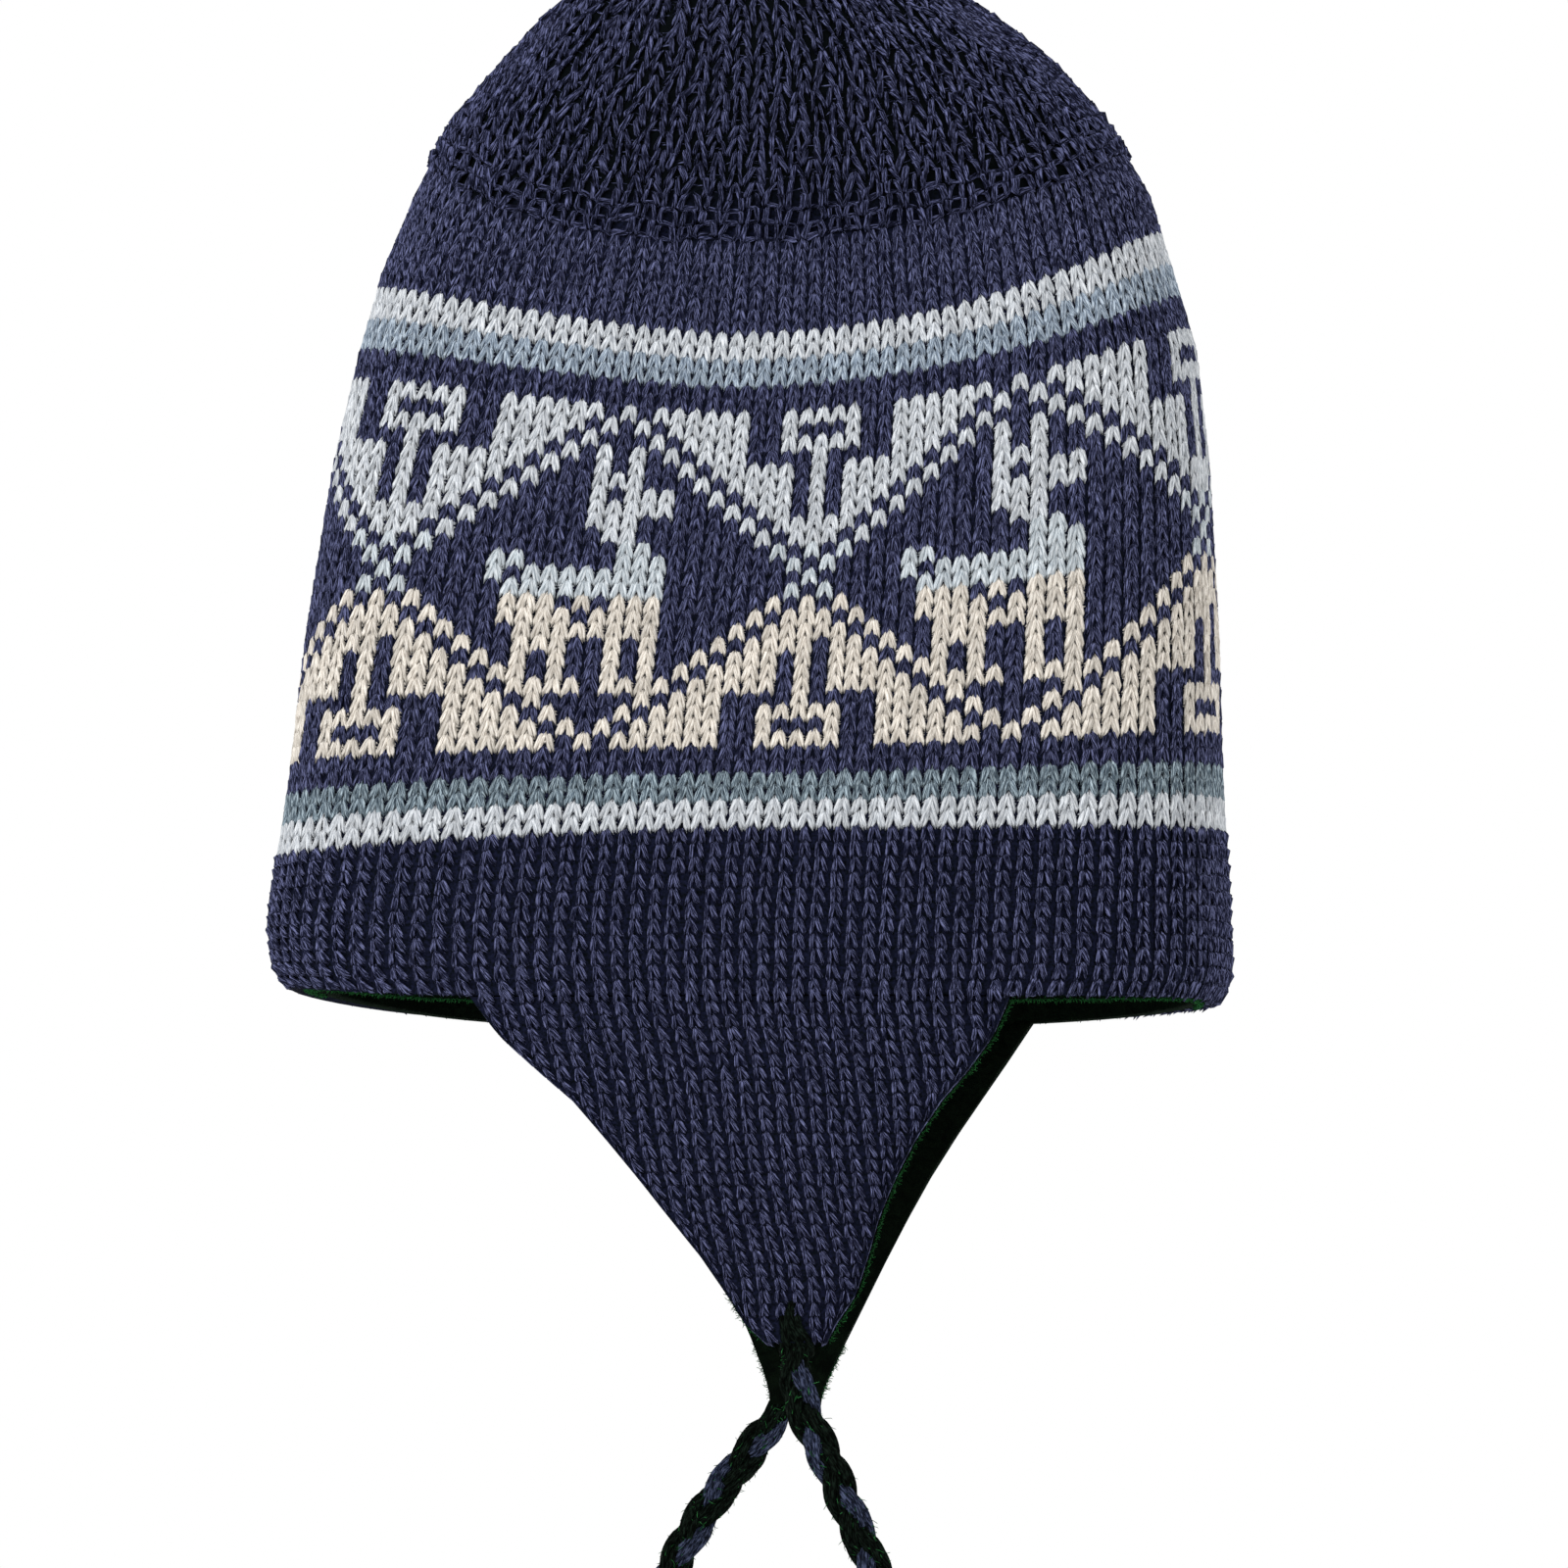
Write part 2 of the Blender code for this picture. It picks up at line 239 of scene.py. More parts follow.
STRIPE_ROWS = {
    11: Yarn.SILVER, 12: Yarn.SILVER, 13: Yarn.GREY_TEAL, 14: Yarn.GREY_TEAL,
    44: Yarn.GREY_BLUE, 45: Yarn.GREY_BLUE, 46: Yarn.SILVER, 47: Yarn.SILVER,
}


def tie_yarn(number: int) -> int:
    """The yarn of a tie's numbered strand: one in three is navy."""
    return (TieYarn.DARK if number % 3 else TieYarn.NAVY).value


def hex_colour(code: str) -> tuple[float, float, float, float]:
    """An sRGB hex colour as the linear one that a shader takes.

    Args:
        code: six hex digits, with or without a leading hash.

    Returns:
        Linear red, green, blue and an alpha of one.
    """
    digits = code.lstrip("#")
    parts = [int(digits[place:place + 2], 16) / 255 for place in (0, 2, 4)]
    linear = [p / 12.92 if p <= 0.04045 else ((p + 0.055) / 1.055) ** 2.4 for p in parts]
    return (linear[0], linear[1], linear[2], 1.0)


class Shading:
    """A new material, with short ways to add the nodes that a finish needs."""

    def __init__(self, name: str) -> None:
        """Make a material with a shader and an output and nothing else.

        Args:
            name: the material's name.
        """
        self.material = bpy.data.materials.new(name)
        self.material.use_nodes = True
        self.tree = self.material.node_tree
        self.tree.nodes.clear()
        self.shader = self.add("BsdfPrincipled")
        self.add("OutputMaterial", {"Surface": self.shader.outputs["BSDF"]})

    def feed(self, node: bpy.types.Node, inputs: dict) -> None:
        """Give a node's inputs, by name or number, their values or the sockets that they read."""
        for name, value in inputs.items():
            if isinstance(value, bpy.types.NodeSocket):
                self.tree.links.new(value, node.inputs[name])
            else:
                node.inputs[name].default_value = value

    def add(self, kind: str, inputs: dict | None = None, **settings: str) -> bpy.types.Node:
        """Add a node.

        Args:
            kind: the node's type name, without the ShaderNode at its start.
            inputs: values, or sockets to link from, by input name or number.
            settings: attributes to set on the node.

        Returns:
            The new node.
        """
        node = self.tree.nodes.new("ShaderNode" + kind)
        for name, value in settings.items():
            setattr(node, name, value)
        self.feed(node, inputs or {})
        return node

    def place(self) -> bpy.types.NodeSocket:
        """The piece's own Object coordinates."""
        return self.add("TexCoord").outputs["Object"]

    def noise(self, vector: bpy.types.NodeSocket, scale: float, detail: float,
              roughness: float = 0.5, distortion: float = 0.0) -> bpy.types.NodeSocket:
        """Noise of the given look, from 0 to 1."""
        return self.add("TexNoise", {
            "Vector": vector, "Scale": scale, "Detail": detail, "Roughness": roughness,
            "Distortion": distortion}).outputs["Fac"]

    def wave(self, vector: bpy.types.NodeSocket, axis: str, scale: float,
             distortion: float) -> bpy.types.NodeSocket:
        """Bands across an axis, from 0 to 1."""
        return self.add("TexWave", {"Vector": vector, "Scale": scale, "Distortion": distortion},
                        bands_direction=axis).outputs["Fac"]

    def blend(self, value: bpy.types.NodeSocket, factor: float,
              base: bpy.types.NodeSocket | float) -> bpy.types.NodeSocket:
        """A base with a share of a value added."""
        return self.add("Math", {0: value, 1: factor, 2: base},
                        operation="MULTIPLY_ADD").outputs["Value"]

    def ramp(self, value: bpy.types.NodeSocket,
             *stops: tuple[float, str]) -> bpy.types.NodeSocket:
        """Colours by value.

        Args:
            value: what is read, from 0 to 1.
            stops: places from 0 to 1 with sRGB hex colours.

        Returns:
            The colour.
        """
        node = self.add("ValToRGB", {"Fac": value})
        elements = node.color_ramp.elements
        while len(elements) < len(stops):
            elements.new(0.5)
        for element, (place, code) in zip(elements, stops):
            element.position = place
            element.color = hex_colour(code)
        return node.outputs["Color"]

    def bump(self, height: bpy.types.NodeSocket, strength: float,
             distance: float) -> bpy.types.NodeSocket:
        """The normal of a relief whose full height is a distance in metres."""
        return self.add("Bump", {"Height": height, "Strength": strength,
                                 "Distance": distance}).outputs["Normal"]

    def finish(self, inputs: dict) -> bpy.types.Material:
        """Give the shader its inputs and hand the material over."""
        self.feed(self.shader, inputs)
        return self.material


@dataclass(frozen=True)
class YarnFinish:
    """Plied alpaca yarn, worsted spun: matt, with fine fibres that catch the light.

    The fibres of a heathered yarn are dyed apart and spun together, so it shows thin
    streaks of dark and pale fibre that wind round it.
    """

    name: str
    dark: str
    middle: str
    pale: str
    spread: float = 0.09         # width of the ramp from dark to pale
    fibre_width: float = 0.36    # mm, drawn coarser than real so that it shows
    fibre_length: float = 2.0    # mm
    twist: float = 14.0          # degrees that the fibres wind round the yarn
    ply: float = 1.9             # mm from ply to ply along the yarn
    ply_twist: float = 50.0      # degrees that the plies wind round it
    uneven: float = 0.18         # how much one stitch's yarn differs from the next
    sheen: str = "#6C6F9A"
    bloom: float = 0.12          # how much its standing fibres catch the light
    gloss: float = 0.06

    def build(self) -> bpy.types.Material:
        """Make the material, which reads the yarn's own UV map in millimetres."""
        shading = Shading(self.name)
        along = shading.add("UVMap", uv_map="yarn").outputs["UV"]
        fibres = shading.add("Mapping", {
            "Vector": along, "Rotation": (0.0, 0.0, radians(self.twist)),
            "Scale": (self.fibre_width, self.fibre_length, 1.0)}, vector_type="TEXTURE")
        streaks = shading.noise(fibres.outputs["Vector"], 1.0, 3.0, roughness=0.62)
        heather = shading.ramp(streaks, (0.5 - self.spread, self.dark), (0.5, self.middle),
                               (0.5 + self.spread, self.pale))
        shade = shading.add("Attribute", attribute_name="shade").outputs["Fac"]
        tinted = shading.add("HueSaturation", {
            "Value": shading.blend(shade, self.uneven, 1.0), "Color": heather})
        winding = shading.add("Mapping", {
            "Vector": along, "Rotation": (0.0, 0.0, radians(self.ply_twist))})
        plies = shading.wave(winding.outputs["Vector"], "X", WAVE_SCALE / self.ply, 0.0)
        return shading.finish({
            "Base Color": tinted.outputs["Color"],
            "Normal": shading.bump(shading.blend(plies, 0.8, streaks), 0.8, 0.0004),
            "Roughness": 0.88,
            "Specular IOR Level": self.gloss,
            "Sheen Weight": self.bloom,
            "Sheen Roughness": 0.45,
            "Sheen Tint": hex_colour(self.sheen)})


@dataclass(frozen=True)
class KnitBackFinish:
    """The depth of the knit, seen only through the gaps between stitches.

    Alpaca yarn behind the face: the same navy, painted dark as shade with hardly any light
    on it, and painted darker still, as deeper shade, where the loose crown stands open.
    """

    name: str = "alpaca_knit_back_in_shadow"
    # painted shade: the colour low on the crown, and the darker one high up
    low: str = "#15182C"
    high: str = "#05080A"
    turn: float = 0.176          # height where the loose knit begins, metres
    fade: float = 0.012          # metres over which it turns
    purl: float = 3.4            # mm between rows of purl bumps

    def build(self) -> bpy.types.Material:
        """Make the material, which reads Object coordinates."""
        shading = Shading(self.name)
        place = shading.place()
        parts = shading.add("SeparateXYZ", {0: place})
        share = shading.add("MapRange", {
            "Value": parts.outputs["Z"], "From Min": self.turn, "From Max": self.turn + self.fade})
        low = shading.ramp(shading.noise(place, 1400.0, 2.0), (0.3, self.high), (0.7, self.low))
        mixed = shading.add("Mix", {
            "Factor": share.outputs["Result"], "A": low, "B": hex_colour(self.high)},
            data_type="RGBA")
        rows = shading.wave(place, "Z", WAVE_SCALE / MM / self.purl, 1.5)
        return shading.finish({
            "Base Color": mixed.outputs["Result"],
            "Normal": shading.bump(rows, 0.8, 0.0006),
            "Roughness": 0.95,
            "Specular IOR Level": 0.03})


@dataclass(frozen=True)
class FleeceFinish:
    """Brushed polyester fleece: short tangled pile, near black with a green cast.

    Brushing lifts the pile into soft clumps, so it looks mottled, and the pile's tips
    catch light at a glancing angle as a green bloom.
    """

    name: str = "polyester_fleece_brushed"
    deep: str = "#020302"
    pile: str = "#091009"
    bloom: str = "#15452A"
    clump: float = 2.6           # mm
    fibre: float = 0.55          # mm, drawn coarser than real so that it shows

    def build(self) -> bpy.types.Material:
        """Make the material, which reads Object coordinates."""
        shading = Shading(self.name)
        place = shading.place()
        clumps = shading.noise(place, 1.0 / MM / self.clump, 4.0, roughness=0.7, distortion=0.6)
        hairs = shading.noise(place, 1.0 / MM / self.fibre, 2.0)
        return shading.finish({
            "Base Color": shading.ramp(clumps, (0.38, self.deep), (0.72, self.pile)),
            "Normal": shading.bump(shading.blend(hairs, 0.45, clumps), 0.9, 0.0012),
            "Roughness": 0.97,
            "Specular IOR Level": 0.03,
            "Sheen Weight": 0.20,
            "Sheen Roughness": 0.6,
            "Sheen Tint": hex_colour(self.bloom)})


@dataclass(frozen=True)
class FloorFinish:
    """Matt off-white studio paper, rolled flat: even, with the faintest mottle."""

    name: str = "studio_paper_matt"
    colour: str = "#D8D8D6"
    mottle: str = "#D4D4D2"

    def build(self) -> bpy.types.Material:
        """Make the material, which reads Object coordinates."""
        shading = Shading(self.name)
        noise = shading.noise(shading.place(), 3.0, 2.0)
        return shading.finish({
            "Base Color": shading.ramp(noise, (0.3, self.mottle), (0.7, self.colour)),
            "Roughness": 0.9})


def unit(vectors: np.ndarray) -> np.ndarray:
    """Vectors of length one, along the last axis."""
    return vectors / np.maximum(np.linalg.norm(vectors, axis=-1, keepdims=True), 1e-12)


def headings(path: np.ndarray) -> np.ndarray:
    """The way that a path runs at each of its points."""
    return unit(np.gradient(path, axis=0))


def travelled(path: np.ndarray) -> np.ndarray:
    """Length of a path from its start to each of its points."""
    return np.concatenate([[0.0], np.cumsum(np.linalg.norm(np.diff(path, axis=0), axis=1))])


def rim_wave(x: np.ndarray) -> np.ndarray:
    """Height of the rim's edge at x: low over the ears, higher at back and brow."""
    along = x / (CROWN_LENGTH / 2)
    return np.where(along > 0.0, RIM_RISE_FRONT, RIM_RISE_BACK) * along ** 4 - RIM_SAG


def side_reach(x: np.ndarray) -> np.ndarray:
    """How far out the rim's ring lies at x."""
    reach = np.where(x >= 0.0, LEVELS[0, 2], LEVELS[0, 1]) * CROWN_LENGTH / 2
    share = np.clip(1.0 - np.abs(x / reach) ** LEVELS[0, 4], 0.0, 1.0)
    return LEVELS[0, 3] * CROWN_BREADTH / 2 * share ** (1 / LEVELS[0, 4])


class CrownFace:
    """The crown's outer face, read by how far round and how far up a point is.

    Round runs from 0 at the back by the right ear to 1 at the brow, and by the left
    ear to 2 at the back again, in even shares of each half ring's length.
    """

    HEIGHTS = 181
    STEPS = 361
    FINE = 2400

    def __init__(self) -> None:
        """Read the half rings into one table."""
        shares = np.linspace(0.0, 1.0, self.HEIGHTS)
        self.table = np.stack([self._half_ring(share) for share in shares])
        rise = np.linalg.norm(np.diff(self.table, axis=0), axis=2)
        self.climb = np.vstack([np.zeros((1, self.STEPS)), np.cumsum(rise, axis=0)])
        self.shares = shares

    def _half_ring(self, share: float) -> np.ndarray:
        """Evenly spaced points from the back by the right ear to the brow.

        Args:
            share: share of the crown's height.

        Returns:
            One row for each point.
        """
        back, front, side, square = (np.interp(share, LEVELS[:, 0], LEVELS[:, column])
                                     for column in (1, 2, 3, 4))
        angle = np.linspace(pi, 2 * pi, self.FINE)
        run, out = np.cos(angle), np.sin(angle)
        reach = np.where(run >= 0.0, front, back) * CROWN_LENGTH / 2
        x = reach * np.sign(run) * np.abs(run) ** (2 / square)
        y = side * CROWN_BREADTH / 2 * np.sign(out) * np.abs(out) ** (2 / square)
        y[0] = y[-1] = 0.0
        gather = (share - PUCKER_START) / (1.0 - PUCKER_START)
        if gather > 0.0:
            size = np.maximum(np.hypot(x, y), 1e-9)
            depth = np.minimum(PUCKER_DEPTH * min(1.0, 2.0 * gather), PUCKER_LIMIT * size)
            swell = 1.0 + depth / size * np.cos(PUCKER_COUNT * angle)
            x, y = x * swell, y * swell
        length = np.concatenate([[0.0], np.cumsum(np.hypot(np.diff(x), np.diff(y)))])
        even = np.linspace(0.0, 1.0, self.STEPS) * length[-1]
        x, y = np.interp(even, length, x), np.interp(even, length, y)
        fade = max(0.0, 1.0 - share / RIM_FADE)
        return np.stack([x, y, share * CROWN_HEIGHT + fade * rim_wave(x)], axis=1)

    def point(self, around: np.ndarray, share: np.ndarray) -> np.ndarray:
        """Points of the face.

        Args:
            around: half turns from the back by the right ear.
            share: shares of the crown's height, below 0 straight down from the rim.

        Returns:
            Points, with the shape of the arguments and three numbers each.
        """
        around, share = np.broadcast_arrays(np.asarray(around, float), np.asarray(share, float))
        turn = np.mod(around, 2.0)
        far = turn > 1.0
        place = np.where(far, 2.0 - turn, turn) * (self.STEPS - 1)
        column = np.clip(place.astype(int), 0, self.STEPS - 2)
        level = np.clip(share, 0.0, 1.0) * (self.HEIGHTS - 1)
        row = np.clip(level.astype(int), 0, self.HEIGHTS - 2)
        p = (place - column)[..., None]
        q = (level - row)[..., None]
        low = self.table[row, column] * (1 - p) + self.table[row, column + 1] * p
        high = self.table[row + 1, column] * (1 - p) + self.table[row + 1, column + 1] * p
        found = low * (1 - q) + high * q
        found[..., 1] = np.where(far, -found[..., 1], found[..., 1])
        found[..., 2] += np.minimum(share, 0.0) * CROWN_HEIGHT
        return found

    def outward(self, around: np.ndarray, share: np.ndarray) -> np.ndarray:
        """The face's outward direction at the same places."""
        share = np.clip(np.asarray(share, float), 0.004, 0.99)
        across = self.point(around + 0.004, share) - self.point(around - 0.004, share)
        up = self.point(around, share + 0.006) - self.point(around, share - 0.006)
        return unit(np.cross(across, up))

    def climbed(self, around: float, start: float, share: float) -> float:
        """The height share that a climb along the face has come to.

        Args:
            around: half turns from the back by the right ear.
            start: the height share that the climb starts from.
            share: share of the way from there to the top.

        Returns:
            A share of the crown's height.
        """
        turn = around % 2.0
        column = int(round((2.0 - turn if turn > 1.0 else turn) * (self.STEPS - 1)))
        length = self.climb[:, column]
        first = np.interp(start, self.shares, length)
        return float(np.interp(first + (length[-1] - first) * share, length, self.shares))


@dataclass(frozen=True)
class RowMark:
    """Height of a row's lower edge over the ears, at the back and at the brow."""

    row: int
    ear: float
    back: float
    brow: float
    late: tuple[float, float] = (2.0, 2.0)  # how late it bends towards back and brow

    def height(self, share: np.ndarray) -> np.ndarray:
        """Height at a place from -1 at the back to 1 at the brow."""
        far = np.abs(share)
        return self.ear + np.where(share < 0.0, (self.back - self.ear) * far ** self.late[0],
                                   (self.brow - self.ear) * far ** self.late[1])


ROW_MARKS = (
    RowMark(0, -0.0025, 0.0030, -0.0010, (4.0, 4.0)),
    RowMark(RIB_ROWS, 0.0362, 0.0330, 0.0385, (1.2, 2.0)),
    RowMark(UPPER_FROM, 0.1510, 0.1665, 0.1789, (1.4, 2.0)),
    RowMark(LOOSE_FROM, 0.1730, 0.1955, 0.1970, (2.2, 2.0)),
)


class KnitGrid:
    """Where the corners of the crown's stitches lie."""

    def __init__(self, face: CrownFace) -> None:
        """Keep the face and work out every corner.

        Args:
            face: the crown's outer face.
        """
        self.face = face
        self.corners = np.stack([self.row_line(row, np.arange(COLUMNS + 1))
                                 for row in range(LOOSE_FROM + 1)])

    @staticmethod
    def place(column: np.ndarray, height: np.ndarray) -> np.ndarray:
        """How far round a column's edge is at a height, in half turns.

        Args:
            column: column edges, which needn't be whole numbers.
            height: metres above the rim's plane.

        Returns:
            Half turns from the back by the right ear.
        """
        turn = column / HALF_COLUMNS + STEM_PHASE + COLUMN_LEAN * (height - LEAN_FROM)
        return (turn - WARP * np.sin(2 * pi * turn) / (2 * pi)
                - FLAT * np.sin(4 * pi * turn) / (4 * pi)
                - TAUT * np.sin(6 * pi * turn) / (6 * pi)
                + SKEW * (1.0 + np.cos(2 * pi * turn)))

    def row_line(self, row: float, column: np.ndarray) -> np.ndarray:
        """Points along the lower edge of a row.

        Args:
            row: the row, counted up from the rim.
            column: column edges.

        Returns:
            One point for each column edge.
        """
        around, share = self.row_places(row, column)
        return self.face.point(around, share)

    def row_places(self, row: float, column: np.ndarray) -> tuple[np.ndarray, np.ndarray]:
        """The places on the face of a row's lower edge.

        Args:
            row: the row, counted up from the rim.
            column: column edges.

        Returns:
            Half turns round and shares of the height.
        """
        index = max(0, min(len(ROW_MARKS) - 2,
                           sum(mark.row <= row for mark in ROW_MARKS) - 1))
        low, high = ROW_MARKS[index], ROW_MARKS[index + 1]
        part = (row - low.row) / (high.row - low.row)
        height = np.full(len(column), low.ear + (high.ear - low.ear) * part)
        for _ in range(4):
            share = self._share(column, height)
            around = self.place(column, height)
            point = self.face.point(around, share)
            reach = self._reach(share, point[:, 0] >= 0.0)
            along = np.clip(point[:, 0] / np.maximum(reach, 1e-9), -1.0, 1.0)
            height = low.height(along) * (1 - part) + high.height(along) * part
        return self.place(column, height), self._share(column, height)

    def _share(self, column: np.ndarray, height: np.ndarray) -> np.ndarray:
        """The height share whose point lies at a height, the rim's wave allowed for."""
        share = height / CROWN_HEIGHT
        for _ in range(3):
            x = self.face.point(self.place(column, height), np.clip(share, 0.0, 1.0))[:, 0]
            fade = np.clip(1.0 - share / RIM_FADE, 0.0, 1.0)
            share = (height - fade * rim_wave(x)) / CROWN_HEIGHT
        return np.maximum(share, 0.0)

    @staticmethod
    def _reach(share: np.ndarray, front: np.ndarray) -> np.ndarray:
        """Half length of the ring at a height share, towards brow or back."""
        back = np.interp(share, LEVELS[:, 0], LEVELS[:, 1])
        brow = np.interp(share, LEVELS[:, 0], LEVELS[:, 2])
        return np.where(front, brow, back) * CROWN_LENGTH / 2


@dataclass(frozen=True)
class Leg:
    """One leg of a stitch, in shares of its cell across and up, and metres proud."""

    top: tuple[float, float, float]
    middle: tuple[float, float, float]
    foot: tuple[float, float, float]
    width: float                 # half width, share of the cell's width
    depth: float                 # half thickness, metres

    def mirrored(self) -> "Leg":
        """The same leg on the other side of the stitch."""
        flip = [(-across, up, out) for across, up, out in (self.top, self.middle, self.foot)]
        return Leg(flip[0], flip[1], flip[2], self.width, self.depth)


@dataclass(frozen=True)
class StitchStyle:
    """How a stitch's two legs lie, and how unevenly it was worked."""

    left: Leg
    right: Leg
    wander: float = 0.03         # share of the cell that a leg's ends may be off
    swell: float = 0.07          # share that a leg may be thicker or thinner
    bar: Leg | None = None       # yarn that runs across behind the legs


PLY_SPREAD = (0.22, 0.50, 0.36)   # how far apart the plies lie at top, middle and foot
PLY_WIND = (-0.75, 0.0, 0.75)     # radians that they have wound round each other there
PLY_WIDTH = 0.64                  # a ply's share of the yarn's width
PLY_DEPTH = 0.85                  # and of its thickness
PLAIN_LEG = Leg((-0.035, 0.80, 0.0000), (-0.205, 0.00, 0.0004), (-0.385, -0.84, -0.0002),
                0.20, 0.0007)
FULL_LEG = Leg((-0.030, 0.84, 0.0000), (-0.215, 0.00, 0.0004), (-0.405, -0.86, -0.0001),
               0.212, 0.0006)
FULL_BAR = Leg((-0.48, 0.10, -0.0001), (0.0, 0.16, 0.0000), (0.48, 0.10, -0.0001),
               0.22, 0.0003)
PLAIN = StitchStyle(PLAIN_LEG, PLAIN_LEG.mirrored(), wander=0.04, swell=0.10)
FULL = StitchStyle(FULL_LEG, FULL_LEG.mirrored(), wander=0.03, swell=0.08, bar=FULL_BAR)
RIBBED = StitchStyle(
    Leg((-0.14, 0.62, 0.0002), (-0.22, 0.00, 0.0004), (-0.25, -0.74, -0.0001), 0.145, 0.0007),
    Leg((-0.03, 0.62, 0.0004), (0.13, 0.02, 0.0007), (0.38, -0.62, -0.0003), 0.155, 0.0008),
    wander=0.05, swell=0.12)
LOOSE_LEG = Leg((-0.06, 0.70, 0.0004), (-0.23, -0.02, 0.0009), (-0.41, -0.90, -0.0003),
                0.138, 0.0010)
LOOSE_BAR = Leg((-0.56, -0.10, -0.0006), (0.0, 0.02, -0.0008), (0.56, -0.10, -0.0006),
                0.120, 0.0010)
LOOSE = StitchStyle(LOOSE_LEG, LOOSE_LEG.mirrored(), wander=0.075, swell=0.16, bar=LOOSE_BAR)
LADDER_LEG = Leg((-0.12, 0.60, 0.0006), (-0.37, 0.02, 0.0010), (-0.26, -0.62, 0.0000),
                 0.150, 0.0012)
LADDER_BAR = Leg((-0.42, -0.50, -0.0002), (0.0, -0.30, 0.0003), (0.42, -0.50, -0.0002),
                 0.150, 0.0011)
LADDER = StitchStyle(LADDER_LEG, LADDER_LEG.mirrored(), wander=0.07, swell=0.20, bar=LADDER_BAR)


class LobePrimitive:
    """A small closed ball made once, whose copies are bent into lengths of yarn."""

    def __init__(self, segments: int, rings: int) -> None:
        """Add the ball, read it and remove it.

        Args:
            segments: sides round the yarn.
            rings: rings along it, poles counted as one more.
        """
        bpy.ops.object.select_all(action="DESELECT")
        bpy.ops.mesh.primitive_uv_sphere_add(segments=segments, ring_count=rings, radius=1.0)
        ball = bpy.context.object
        mesh = ball.data
        self.points = np.array([tuple(v.co) for v in mesh.vertices])
        faces = [tuple(face.vertices) for face in mesh.polygons]
        self.starts = np.cumsum([0] + [len(face) for face in faces[:-1]])
        self.loops = np.concatenate([np.array(face) for face in faces])
        layer = mesh.uv_layers.active.data
        self.uvs = np.array([tuple(layer[i].uv) for i in range(len(mesh.loops))])
        bpy.data.objects.remove(ball, do_unlink=True)
        bpy.data.meshes.remove(mesh)


